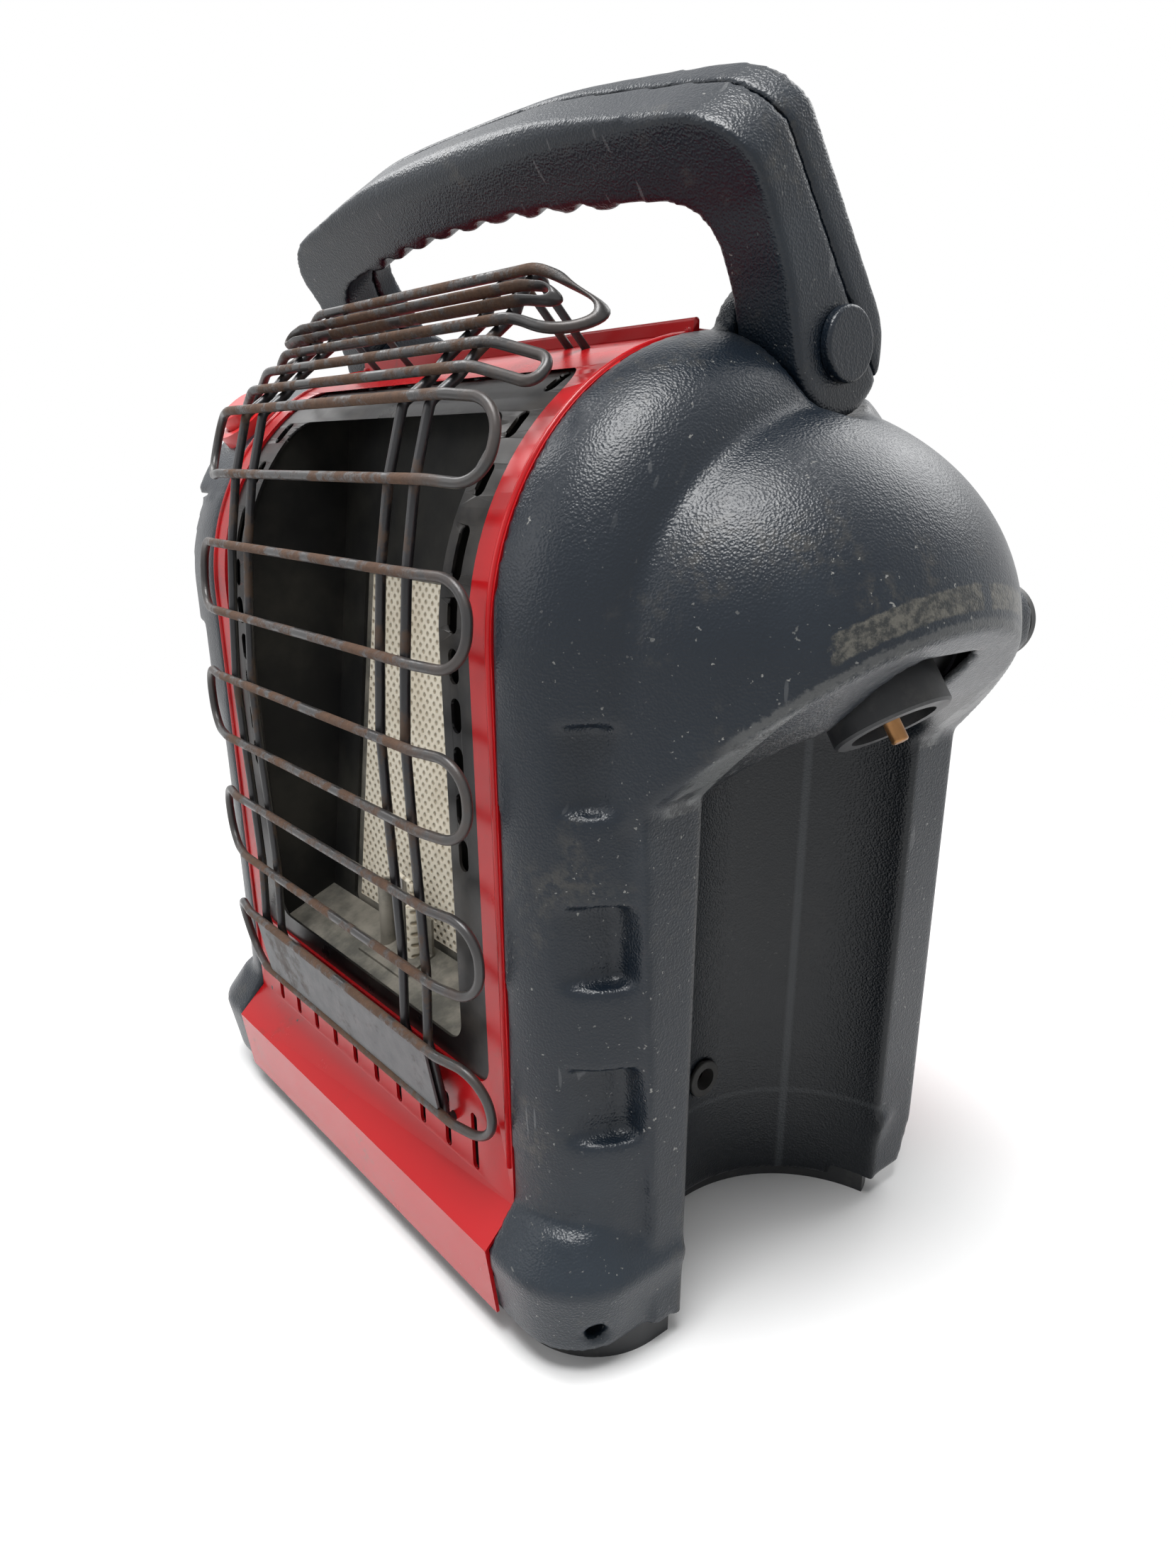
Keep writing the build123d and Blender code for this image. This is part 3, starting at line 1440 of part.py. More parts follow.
# ---------------------------------------------------------------- wire guard
rod_places = (                       # pairs of rods, each pair one closed loop: (y, z)
    ((-88.5, 68.9), (-93.8, 95.9)),
    ((-93.5, 121.0), (-94.9, 147.1)),
    ((-96.5, 172.5), (-97.7, 197.6)),
    ((-96.6, 222.6), (-94.9, 247.9)),
    ((-91.1, 273.1), (-85.0, 295.3)),
    ((-75.0, 303.0), (-68.5, 309.8)),
    ((-60.5, 316.4), (-33.0, 332.8)),
    ((-52.0, 321.9), (-43.0, 327.0)),
)
loop_halves = (94, 94, 94, 94, 94, 94, 94, 86)
loop_tucks = (4, 4, 4, 4, 6, 8, 8, 2)   # how far each loop's ends bend in towards the fascia


def loop_points(low, high, half, tuck):
    """Corners of one closed loop, its ends bent in towards the fascia."""
    along = (Vector(0, *high) - Vector(0, *low)).normalized()
    inward = along.cross(Vector(1, 0, 0))
    corners = []
    for x, rod, sink in (
        (-guard_bend_x, low, 0),
        (guard_bend_x, low, 0),
        (half, low, tuck),
        (half, high, tuck),
        (guard_bend_x, high, 0),
        (-guard_bend_x, high, 0),
        (-half, high, tuck),
        (-half, low, tuck),
    ):
        corners.append(Vector(x, *rod) + inward * sink)
    return corners


with BuildPart() as guard_loops:
    for (low, high), half, tuck in zip(rod_places, loop_halves, loop_tucks):
        turn = 0.46 * (Vector(0, *high) - Vector(0, *low)).length
        with BuildLine() as loop_path:
            FilletPolyline(
                loop_points(low, high, half, tuck),
                radius=(24, 24, turn, turn, 24, 24, turn, turn),
                close=True,
            )
        start = loop_path.edges().sort_by(SortBy.LENGTH)[-1]
        with BuildSketch(Plane(start @ 0, z_dir=start % 0)):
            Circle(wire / 2)
        sweep(path=loop_path.wires()[0])
guard_loops.part.label = "guard_loops"
export_step(guard_loops.part, "parts/guard_loops.step")


def upright_line(leg_y):
    """Centre line of an upright, in (y, z): just inside every rod, then down to the arch."""
    rods = [Vector(*rod) for pair in rod_places[:6] for rod in pair]
    rods += [Vector(*rod_places[6][0]), Vector(*rod_places[7][0])]
    rods += [Vector(*rod_places[7][1]), Vector(*rod_places[6][1])]
    line = [(front_face_y(hook_z) + 0.9, hook_z), (rods[0].X + wire + 0.1, hook_z)]
    radii = [2]
    for number, rod in enumerate(rods):
        before = rods[max(number - 1, 0)]
        after = rods[min(number + 1, len(rods) - 1)]
        along = (after - before).normalized()
        line.append((rod.X + along.Y * (wire + touch), rod.Y - along.X * (wire + touch)))
        radii.append(5)
    line.append((leg_y - 0.8, leg_top_z))
    line.append((leg_y, hood_height(leg_y) - 0.8))
    return line, radii + [2.6]


with BuildPart() as guard_uprights:
    for x, leg_y in zip(upright_places, leg_places):
        line, radii = upright_line(leg_y)
        with BuildLine() as upright_path:
            FilletPolyline([(x, y, z) for y, z in line], radius=radii)
        with BuildSketch(Plane(upright_path.line @ 0, z_dir=upright_path.line % 0)):
            Circle(wire / 2)
        sweep(path=upright_path.line)
    mirror(about=Plane.YZ)
guard_uprights.part.label = "guard_uprights"
export_step(guard_uprights.part, "parts/guard_uprights.step")


with BuildPart() as guard_plate:
    plate_low = Vector(0, *rod_places[0][0])
    plate_high = Vector(0, *rod_places[0][1])
    plate_plane = Plane(
        origin=(plate_low + plate_high) * 0.5,
        x_dir=(1, 0, 0),
        z_dir=Vector(1, 0, 0).cross((plate_high - plate_low).normalized()),
    )
    plate_height = (plate_high - plate_low).length - wire - 2 * touch
    with BuildSketch(plate_plane):
        RectangleRounded(2 * plate_half, plate_height, 1.5)
    extrude(amount=plate_thick / 2, both=True)
guard_plate.part.label = "guard_plate"
export_step(guard_plate.part, "parts/guard_plate.step")


# ---------------------------------------------------------------- screws
with BuildPart() as side_screws:
    with BuildSketch(foot_screw_plane(-12)):
        Circle(screw_head)
    extrude(amount=2.2)
    fillet(side_screws.edges().filter_by(GeomType.CIRCLE).sort_by(Axis.Y)[0], 0.8)
    with BuildSketch(foot_screw_plane(-12)):
        Circle(screw_radius)
    extrude(amount=-screw_length)
    with BuildSketch(foot_screw_plane(-9.8)):
        Rectangle(1, 4)
        Rectangle(4, 1)
    extrude(amount=-1.2, mode=Mode.SUBTRACT)
    mirror(about=Plane.YZ)
side_screws.part.label = "side_screws"
export_step(side_screws.part, "parts/side_screws.step")


with BuildPart() as base_screws:
    with BuildSketch(Plane.XY.offset(0.5)):
        with Locations(base_screw_places):
            Circle(screw_head)
    extrude(amount=1.9)
    with BuildSketch(Plane.XY.offset(0.5)):
        with Locations(base_screw_places):
            Circle(screw_radius)
    extrude(amount=base_height + 2.6 - 0.6)
    with BuildSketch(Plane.XY.offset(0.5)):
        with Locations(base_screw_places):
            Rectangle(1, 4)
            Rectangle(4, 1)
    extrude(amount=1, mode=Mode.SUBTRACT)
    mirror(about=Plane.YZ)
base_screws.part.label = "base_screws"
export_step(base_screws.part, "parts/base_screws.step")
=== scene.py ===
# %% [markdown]
# # A portable gas heater
# The heater's solids come from its CAD model, with every part in its real place and size.
# Here they get their finishes: pebbled plastic, stove enamel, rusty wire, porous ceramic.
# A few moulded parts are made again as softer skins, because plastic has no sharp edges.

# %% Load the heater's solids
import math

import bpy
from mathutils import Matrix, Vector


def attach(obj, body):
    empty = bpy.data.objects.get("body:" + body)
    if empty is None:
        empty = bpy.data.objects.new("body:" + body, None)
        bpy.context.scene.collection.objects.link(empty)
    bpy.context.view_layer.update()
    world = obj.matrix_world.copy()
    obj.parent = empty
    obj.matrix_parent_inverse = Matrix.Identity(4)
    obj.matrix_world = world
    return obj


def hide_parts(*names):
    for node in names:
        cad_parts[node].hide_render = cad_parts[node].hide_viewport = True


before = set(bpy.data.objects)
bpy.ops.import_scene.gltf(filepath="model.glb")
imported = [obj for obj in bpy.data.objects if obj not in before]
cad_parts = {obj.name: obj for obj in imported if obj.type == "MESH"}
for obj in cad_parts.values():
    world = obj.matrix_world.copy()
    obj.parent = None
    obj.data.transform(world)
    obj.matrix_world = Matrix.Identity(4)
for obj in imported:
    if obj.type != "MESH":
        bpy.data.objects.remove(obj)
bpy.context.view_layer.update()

print("parts in the model:", len(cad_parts))

# %% [markdown]
# ## The view
# The camera stands close to the heater, to the right of its front and a little above it. A short
# lens so near gives a strong perspective. The camera's three axes are written as a matrix,
# because that also holds its slight roll.

# %% Camera
right = Vector((0.64217, 0.76649, 0.0106))
above = Vector((-0.22891, 0.17856, 0.95693))
back = Vector((0.73158, -0.61694, 0.29013))
focal_pixels, tall_pixels = 1472.8, 2212
sensor_side = 36                 # mm, along the frame's tall side

camera_data = bpy.data.cameras.new("view_camera")
camera_data.lens = focal_pixels / tall_pixels * sensor_side
camera_data.sensor_width = sensor_side
camera_data.clip_start = 0.01
camera = bpy.data.objects.new("view_camera", camera_data)
camera.matrix_world = Matrix((
    (right.x, above.x, back.x, 0.3284),
    (right.y, above.y, back.y, -0.2466),
    (right.z, above.z, back.z, 0.2766),
    (0, 0, 0, 1),
))
bpy.context.scene.collection.objects.link(camera)
bpy.context.scene.camera = camera
print("lens:", round(camera_data.lens, 2), "mm")

# %% [markdown]
# ## Small helpers for the finishes
# Every finish is a tree of nodes that reads Object coordinates in metres, so a grain of 1 mm is
# written as a scale of about 1000. The helpers below only save typing: one adds a node and sets
# its inputs, and the others make the patterns that several finishes share.

# %% Node helpers
def is_output(value):
    """True for another node's output, False for a number or a colour."""
    return isinstance(value, bpy.types.NodeSocket)


class Finish:
    """One material with its node tree and its shader."""

    def __init__(self, name, colour, roughness, metallic=0.0, coat=0.0, specular=0.5):
        self.material = bpy.data.materials.new(name)
        self.material.use_nodes = True
        self.nodes = self.material.node_tree.nodes
        self.links = self.material.node_tree.links
        self.shader = self.nodes["Principled BSDF"]
        self.shader.inputs["Base Color"].default_value = (*colour, 1)
        self.shader.inputs["Roughness"].default_value = roughness
        self.shader.inputs["Metallic"].default_value = metallic
        self.shader.inputs["Coat Weight"].default_value = coat
        self.shader.inputs["Specular IOR Level"].default_value = specular
        self.place = self.nodes.new("ShaderNodeTexCoord").outputs["Object"]

    def node(self, kind, settings=None, **inputs):
        """Add a node; an input goes by its name, or by its number as i0, i1 and so on."""
        made = self.nodes.new("ShaderNode" + kind)
        for key, value in (settings or {}).items():
            setattr(made, key, value)
        for key, value in inputs.items():
            by_number = key[0] == "i" and key[1:].isdigit()
            socket = made.inputs[int(key[1:]) if by_number else key]
            if is_output(value):
                self.links.new(value, socket)
            else:
                socket.default_value = value
        return made

    def noise(self, scale, detail=4.0, rough=0.5, place=None):
        """Cloudy values around 0.5, in patches of about 1 / scale metres."""
        made = self.node("TexNoise", Scale=scale, Detail=detail, Roughness=rough)
        self.links.new(place or self.place, made.inputs["Vector"])
        return made.outputs["Fac"]

    def stretched(self, factors):
        """Object coordinates multiplied along each axis, for streaks."""
        made = self.node("VectorMath", {"operation": "MULTIPLY"}, i0=self.place, i1=factors)
        return made.outputs[0]

    def ramp(self, value, low, high):
        """0 below low, 1 above high, smooth between."""
        smooth = {"interpolation_type": "SMOOTHSTEP"}
        return self.node("MapRange", smooth, i0=value, i1=low, i2=high).outputs[0]

    def blend(self, share, first, second):
        """Mix two colours, given as numbers or as outputs."""
        first, second = (tone if is_output(tone) else (*tone, 1) for tone in (first, second))
        return self.node("Mix", {"data_type": "RGBA"}, i0=share, i6=first, i7=second).outputs[2]

    def scale(self, value, factor, plus=0.0):
        """A value times a factor, plus a constant."""
        made = self.node("Math", {"operation": "MULTIPLY_ADD"}, i0=value, i1=factor, i2=plus)
        return made.outputs[0]

    def calc(self, operation, first, second=0.0):
        """One sum of two values, which are numbers or outputs."""
        return self.node("Math", {"operation": operation}, i0=first, i1=second).outputs[0]

    def multiply(self, first, second):
        """The product of two masks: 1 only where both are."""
        return self.calc("MULTIPLY", first, second)

    def band(self, value, low, high, soft):
        """1 between low and high, falling to 0 within soft of each."""
        rise = self.ramp(value, low - soft, low + soft)
        fall = self.ramp(value, high + soft, high - soft)
        return self.multiply(rise, fall)

    def axes(self):
        """The three Object coordinates, in metres."""
        return self.node("SeparateXYZ", i0=self.place).outputs

    def colour(self, output):
        """Join an output to the shader's colour."""
        self.links.new(output, self.shader.inputs["Base Color"])

    def roughness(self, value, low, high):
        """Let the roughness run from low to high with a value."""
        made = self.node("MapRange", i0=value, i3=low, i4=high)
        self.links.new(made.outputs[0], self.shader.inputs["Roughness"])

    def bump(self, height, strength, distance):
        """Add a relief on top of any that the finish already has."""
        made = self.node("Bump", Strength=strength, Distance=distance, Height=height)
        normal = self.shader.inputs["Normal"]
        if normal.is_linked:
            self.links.new(normal.links[0].from_socket, made.inputs["Normal"])
        self.links.new(made.outputs[0], normal)


print("helpers:", ", ".join(name for name in vars(Finish) if name[0] != "_"))

# %% [markdown]
# ## Pebbled plastic
# The sides and the handle are moulded in a blue-grey plastic with a fine pebble grain, which
# catches soft light as a satin sheen. Years outdoors left dust in the grain, chalky patches
# where the sun struck, and pale scuffs. The grain is bump; the dust and chalk are colour.
# A mark that should come in groups is the product of two noises, a fine one and a coarse one.

# %% Pebbled plastic finish
def pebble_grain(finish):
    """Rounded pebbles of 0.7 mm, pushed off their grid by a noise, over a slow waviness."""
    drift = finish.node("TexNoise", Vector=finish.place, Scale=420.0, Detail=2.0)
    wander = finish.node(
        "VectorMath", {"operation": "MULTIPLY_ADD"},
        i0=drift.outputs["Color"], i1=(0.0011, 0.0011, 0.0011), i2=finish.place)
    pebbles = finish.node(
        "TexVoronoi", {"feature": "SMOOTH_F1"},
        Vector=wander.outputs[0], Scale=1350.0, Smoothness=0.5)
    finish.bump(pebbles.outputs["Distance"], 0.5, 0.00028)
    finish.bump(finish.noise(90.0, 3.0), 0.06, 0.001)


def pebbled_finish(name):
    """Blue-grey pebbled plastic; returns the finish and its colour so far."""
    finish = Finish(name, (0.009, 0.015, 0.022), 0.4, specular=0.36)
    deep, chalky = (0.004, 0.008, 0.014), (0.012, 0.0185, 0.0265)
    dust, speck, scratch = (0.075, 0.068, 0.055), (0.2, 0.2, 0.19), (0.15, 0.155, 0.16)

    chalk = finish.ramp(finish.noise(11.0, 5.0, 0.6), 0.47, 0.74)
    shade = finish.blend(chalk, deep, chalky)
    dirt = finish.multiply(
        finish.ramp(finish.noise(34.0, 6.0, 0.65), 0.54, 0.7),
        finish.ramp(finish.noise(260.0, 3.0, 0.7), 0.42, 0.62),
    )
    shade = finish.blend(finish.scale(dirt, 0.35), shade, dust)
    specks = finish.multiply(
        finish.ramp(finish.noise(620.0, 2.0), 0.69, 0.74),
        finish.ramp(finish.noise(24.0, 3.0), 0.4, 0.6),
    )
    shade = finish.blend(specks, shade, speck)
    streaks = finish.stretched((1.0, 0.3, 0.1))
    scratches = finish.multiply(
        finish.ramp(finish.noise(520.0, 1.0, 0.5, streaks), 0.69, 0.73),
        finish.ramp(finish.noise(16.0, 2.0), 0.58, 0.68),
    )
    shade = finish.blend(finish.scale(scratches, 0.4), shade, scratch)
    finish.roughness(finish.noise(60.0, 4.0), 0.25, 0.4)
    pebble_grain(finish)
    return finish, shade


pebbled, pebbled_shade = pebbled_finish("pebbled_plastic")
pebbled.colour(pebbled_shade)
print(pebbled.material.name, "has", len(pebbled.nodes), "nodes")

# %% [markdown]
# ## Marks on the right side
# The same plastic carries its own marks on this side. A strip of old tape left its glue above
# the dome's edge, and the edge itself is painted a paler grey. Its underside is painted lighter,
# partly as scuffs and partly as painted light from below, and the niche for the cylinder is
# painted darker as painted shade. Each mark is masked by Object coordinates, in metres, so it
# stays on its place from every side.

# %% Distances on the right side
marked, shade = pebbled_finish("marked_plastic")
along_x, along_y, along_z = marked.axes()
eave = 0.053                     # the dome's underside is the plane z = x + eave
above_eave = marked.calc("SUBTRACT", marked.calc("SUBTRACT", along_z, along_x), eave)
ragged = marked.scale(marked.noise(420.0, 5.0, 0.7), 0.006, -0.003)
niche_x, niche_y, niche_wall = 0.143, 0.012, 0.0545
from_x = marked.calc("SUBTRACT", along_x, niche_x)
from_y = marked.calc("SUBTRACT", along_y, niche_y)
from_axis = marked.calc("SQRT", marked.calc(
    "ADD", marked.multiply(from_x, from_x), marked.multiply(from_y, from_y)))
print("niche of radius", niche_wall, "around x", niche_x, "and y", niche_y)

# %% Painted shade in the niche, and its lighter mould lines
niche_painted_shade = (0.0015, 0.003, 0.005)
line_tone, ledge_tone = (0.05, 0.056, 0.062), (0.045, 0.05, 0.055)
niche_top, ledge_low, ledge_high = 0.206, 0.0405, 0.0425
in_niche = marked.multiply(
    marked.ramp(from_axis, niche_wall + 0.0012, niche_wall + 0.0002),
    marked.ramp(along_z, niche_top + 0.006, niche_top),
)
# The niche's recess is painted darker here as painted shade, not as the plastic's own colour.
shade = marked.blend(marked.scale(in_niche, 0.85), shade, niche_painted_shade)
mould_line = marked.calc("ABSOLUTE", marked.calc(
    "ADD", marked.scale(from_x, 0.656), marked.scale(from_y, 0.755)))
mould_line = marked.multiply(
    marked.ramp(mould_line, 0.0022, 0.0006), marked.ramp(from_x, -0.02, -0.03))
shade = marked.blend(marked.scale(marked.multiply(mould_line, in_niche), 0.55), shade, line_tone)
ledge_line = marked.multiply(marked.band(along_z, ledge_low, ledge_high, 0.0006), in_niche)
shade = marked.blend(marked.scale(ledge_line, 0.4), shade, ledge_tone)
print("niche marked with", len(marked.nodes), "nodes so far")

# %% Underside painted lighter, partly scuffs and partly painted light, and a paler rim
outside_niche = marked.ramp(from_axis, niche_wall, niche_wall + 0.001)
on_dome = marked.multiply(marked.ramp(along_x, 0.118, 0.124), outside_niche)
underside = marked.multiply(
    marked.multiply(marked.band(above_eave, -0.0035, 0.0004, 0.0004), on_dome),
    marked.band(along_y, -0.056, 0.077, 0.003),
)
scuff = marked.ramp(marked.noise(90.0, 7.0, 0.7), 0.5, 0.58)
# The underside's pale grey is partly scuffs and partly painted light from below; the dark patches
# keep the plastic's own tone.
underside_scuffs_and_painted_light = marked.blend(scuff, (0.12, 0.125, 0.125), (0.02, 0.022, 0.024))
shade = marked.blend(marked.scale(underside, 0.8), shade, underside_scuffs_and_painted_light)

# The rim along the dome's lower edge is painted a paler grey, with a ragged border.
rim_tone = (0.11, 0.112, 0.11)
rim_reach = marked.multiply(
    marked.ramp(along_x, 0.138, 0.146), marked.band(along_y, -0.053, 0.074, 0.003))
rim = marked.multiply(
    marked.band(marked.calc("ADD", above_eave, ragged), 0.0006, 0.0034, 0.0008), rim_reach)
shade = marked.blend(marked.scale(rim, 0.55), shade, rim_tone)
print("eave marked with", len(marked.nodes), "nodes so far")

# %% Strip of old glue
front_piece, rear_piece = (-0.034, 0.014), (0.018, 0.052)      # the strip is torn in two
strip_low, strip_high = 0.0062, 0.0148                         # above the eave's plane
strip_height = marked.calc("ADD", above_eave, marked.scale(ragged, 0.5))
strip_side = marked.calc("ADD", along_y, ragged)
strip = marked.calc(
    "ADD",
    marked.band(strip_side, *front_piece, 0.0006),
    marked.band(strip_side, *rear_piece, 0.0006),
)
strip = marked.multiply(strip, marked.band(strip_height, strip_low, strip_high, 0.0005))
strip = marked.multiply(strip, marked.ramp(along_x, 0.150, 0.153))
glue_left = marked.ramp(marked.noise(300.0, 6.0, 0.75), 0.4, 0.62)
glue = marked.blend(glue_left, (0.018, 0.02, 0.02), (0.105, 0.1, 0.085))
shade = marked.blend(marked.scale(strip, 0.9), shade, glue)
marked.colour(shade)
print(marked.material.name, "has", len(marked.nodes), "nodes")

# %% [markdown]
# ## Stove enamel, red and black
# The case is sheet steel in a glossy red enamel, smooth enough to mirror the sky, with a faint
# waviness from the press and a little grime in patches. The liner and the chamber behind the
# window are black enamel: glossy at the rim, and dulled by soot and heat further in.

# %% Red enamel finish
red_enamel = Finish("red_enamel", (0.5, 0.006, 0.009), 0.22, specular=0.3)
grime = red_enamel.multiply(
    red_enamel.ramp(red_enamel.noise(40.0, 6.0, 0.65), 0.56, 0.72),
    red_enamel.ramp(red_enamel.noise(300.0, 3.0, 0.6), 0.4, 0.62),
)
tone = red_enamel.blend(red_enamel.noise(7.0, 2.0), (0.33, 0.004, 0.006), (0.43, 0.006, 0.009))
tone = red_enamel.blend(red_enamel.scale(grime, 0.5), tone, (0.09, 0.03, 0.025))
chips = red_enamel.ramp(red_enamel.noise(210.0, 2.0, 0.4), 0.77, 0.79)
red_enamel.colour(red_enamel.blend(chips, tone, (0.03, 0.02, 0.02)))
red_enamel.roughness(red_enamel.noise(55.0, 5.0, 0.6), 0.14, 0.34)
red_enamel.bump(red_enamel.noise(22.0, 1.0), 0.05, 0.002)
print(red_enamel.material.name, "has", len(red_enamel.nodes), "nodes")

# %% Black enamel finishes
black_enamel = Finish("black_enamel", (0.008, 0.008, 0.009), 0.25, specular=0.3)
soot = black_enamel.ramp(black_enamel.noise(30.0, 6.0, 0.65), 0.45, 0.7)
black_enamel.colour(black_enamel.blend(soot, (0.005, 0.005, 0.0055), (0.028, 0.025, 0.022)))
black_enamel.roughness(black_enamel.noise(45.0, 5.0, 0.6), 0.16, 0.5)
black_enamel.bump(black_enamel.noise(28.0, 2.0), 0.06, 0.002)

sooty = Finish("sooty_enamel", (0.01, 0.01, 0.0095), 0.5, specular=0.2)
haze = sooty.ramp(sooty.noise(26.0, 6.0, 0.6), 0.4, 0.7)
sooty.colour(sooty.blend(haze, (0.006, 0.006, 0.006), (0.02, 0.019, 0.016)))
sooty.roughness(sooty.noise(80.0, 4.0), 0.38, 0.7)
sooty.bump(sooty.noise(220.0, 3.0), 0.08, 0.0005)
print("made", black_enamel.material.name, "and", sooty.material.name)

# %% [markdown]
# ## Wire, sheet and small metal
# The guard is bare steel wire that heat turned black and weather turned brown: rust sits in
# rough patches along the rods' middles and fades towards their bent ends. The uprights behind
# them stayed sooty. The burner's sheet metal is dull, stained steel, and the gas parts are brass
# and die-cast zinc.

# %% Wire finishes
wire_steel = Finish("rusty_wire", (0.03, 0.028, 0.027), 0.42, metallic=0.25)
rust = wire_steel.ramp(wire_steel.noise(70.0, 8.0, 0.72), 0.43, 0.56)
along_rod = wire_steel.calc("ABSOLUTE", wire_steel.axes()[0])
rust_fades = wire_steel.scale(wire_steel.ramp(along_rod, 0.06, 0.088), -0.85, 1.0)
rust = wire_steel.multiply(rust, rust_fades)
rust_tone = wire_steel.blend(
    wire_steel.noise(330.0, 4.0, 0.6), (0.035, 0.02, 0.013), (0.12, 0.062, 0.034))
wire_tone = wire_steel.blend(
    wire_steel.noise(24.0, 3.0), (0.016, 0.016, 0.018), (0.055, 0.052, 0.05))
wire_steel.colour(wire_steel.blend(rust, wire_tone, rust_tone))
wire_steel.roughness(rust, 0.32, 0.85)
wire_steel.bump(wire_steel.multiply(rust, wire_steel.noise(900.0, 5.0, 0.7)), 0.6, 0.0006)

sooty_wire = Finish("sooty_wire", (0.03, 0.03, 0.031), 0.38, metallic=0.35)
spots = sooty_wire.ramp(sooty_wire.noise(60.0, 7.0, 0.7), 0.52, 0.64)
sooty_wire.colour(sooty_wire.blend(spots, (0.022, 0.022, 0.024), (0.06, 0.038, 0.026)))
sooty_wire.roughness(spots, 0.3, 0.7)
sooty_wire.bump(sooty_wire.noise(800.0, 4.0, 0.7), 0.25, 0.0004)
print("made", wire_steel.material.name, "and", sooty_wire.material.name)

# %% Sheet steel finishes
plate_steel = Finish("plate_steel", (0.12, 0.12, 0.12), 0.5, metallic=0.3)
stain = plate_steel.ramp(plate_steel.noise(60.0, 7.0, 0.7), 0.5, 0.64)
plate_steel.colour(plate_steel.blend(stain, (0.10, 0.104, 0.108), (0.034, 0.026, 0.022)))
plate_steel.roughness(plate_steel.noise(140.0, 5.0), 0.38, 0.75)
plate_steel.bump(plate_steel.noise(500.0, 4.0, 0.6), 0.25, 0.0004)

stained_steel = Finish("stained_steel", (0.2, 0.19, 0.16), 0.5, metallic=0.55)
stain = stained_steel.ramp(stained_steel.noise(38.0, 6.0, 0.65), 0.38, 0.68)
stained_steel.colour(stained_steel.blend(stain, (0.09, 0.088, 0.075), (0.27, 0.25, 0.21)))
stained_steel.roughness(stained_steel.noise(90.0, 4.0), 0.35, 0.7)
stained_steel.bump(stained_steel.noise(420.0, 3.0), 0.1, 0.0004)
print("made", plate_steel.material.name, "and", stained_steel.material.name)

# %% Brass, zinc and bright steel finishes
brass = Finish("dull_brass", (0.3, 0.15, 0.06), 0.42, metallic=0.85)
brass.colour(brass.blend(brass.noise(160.0, 4.0), (0.13, 0.06, 0.025), (0.38, 0.2, 0.08)))
brass.roughness(brass.noise(240.0, 4.0), 0.28, 0.5)
brass.bump(brass.noise(600.0, 2.0), 0.05, 0.0003)

zinc = Finish("cast_zinc", (0.2, 0.2, 0.21), 0.5, metallic=0.7)
zinc.colour(zinc.blend(zinc.noise(120.0, 4.0), (0.14, 0.14, 0.145), (0.26, 0.26, 0.27)))
zinc.roughness(zinc.noise(180.0, 3.0), 0.42, 0.62)
zinc.bump(zinc.noise(700.0, 3.0), 0.15, 0.0003)

bright_steel = Finish("bright_steel", (0.45, 0.45, 0.46), 0.3, metallic=0.95)
bright_steel.colour(bright_steel.blend(
    bright_steel.noise(90.0, 5.0), (0.3, 0.29, 0.28), (0.55, 0.55, 0.56)))
bright_steel.roughness(bright_steel.noise(300.0, 3.0), 0.22, 0.45)
bright_steel.bump(bright_steel.noise(800.0, 2.0), 0.05, 0.0002)
print("made", brass.material.name, zinc.material.name, "and", bright_steel.material.name)

# %% [markdown]
# ## Small plastic and rubber parts
# The knob, the pan and the socket are a plain black plastic that holds dust. The ring in the
# niche is dull rubber, and the igniter's collar and button are a shinier red plastic.

# %% Black plastic, rubber and red plastic finishes
black_plastic = Finish("black_plastic", (0.018, 0.018, 0.02), 0.5)
dusty = black_plastic.ramp(black_plastic.noise(48.0, 6.0, 0.65), 0.5, 0.72)
black_plastic.colour(black_plastic.blend(
    black_plastic.scale(dusty, 0.5), (0.014, 0.015, 0.017), (0.08, 0.078, 0.072)))
black_plastic.roughness(black_plastic.noise(70.0, 4.0), 0.38, 0.6)
black_plastic.bump(black_plastic.noise(1100.0, 2.0), 0.12, 0.0003)

rubber = Finish("black_rubber", (0.012, 0.012, 0.012), 0.75)
rubber.colour(rubber.blend(rubber.noise(200.0, 4.0), (0.008, 0.008, 0.008), (0.03, 0.029, 0.027)))
rubber.roughness(rubber.noise(260.0, 3.0), 0.6, 0.85)
rubber.bump(rubber.noise(900.0, 2.0), 0.15, 0.0003)

red_plastic = Finish("red_plastic", (0.5, 0.012, 0.012), 0.3, coat=0.2)
red_plastic.colour(red_plastic.blend(
    red_plastic.noise(60.0, 3.0), (0.4, 0.008, 0.01), (0.56, 0.016, 0.016)))
red_plastic.roughness(red_plastic.noise(180.0, 3.0), 0.24, 0.42)
red_plastic.bump(red_plastic.noise(300.0, 2.0), 0.04, 0.0004)
print("made", black_plastic.material.name, rubber.material.name, "and", red_plastic.material.name)

# %% [markdown]
# ## The ceramic tile
# The burner burns its gas on the face of a porous ceramic tile, which is pressed with slanting
# rows of tiny pits. A Voronoi pattern with no randomness is an even grid, here on the tile's face
# and turned by 45 degrees. The distance to the nearest point gives the bump, and the pits are
# darkened in colour as painted shade.

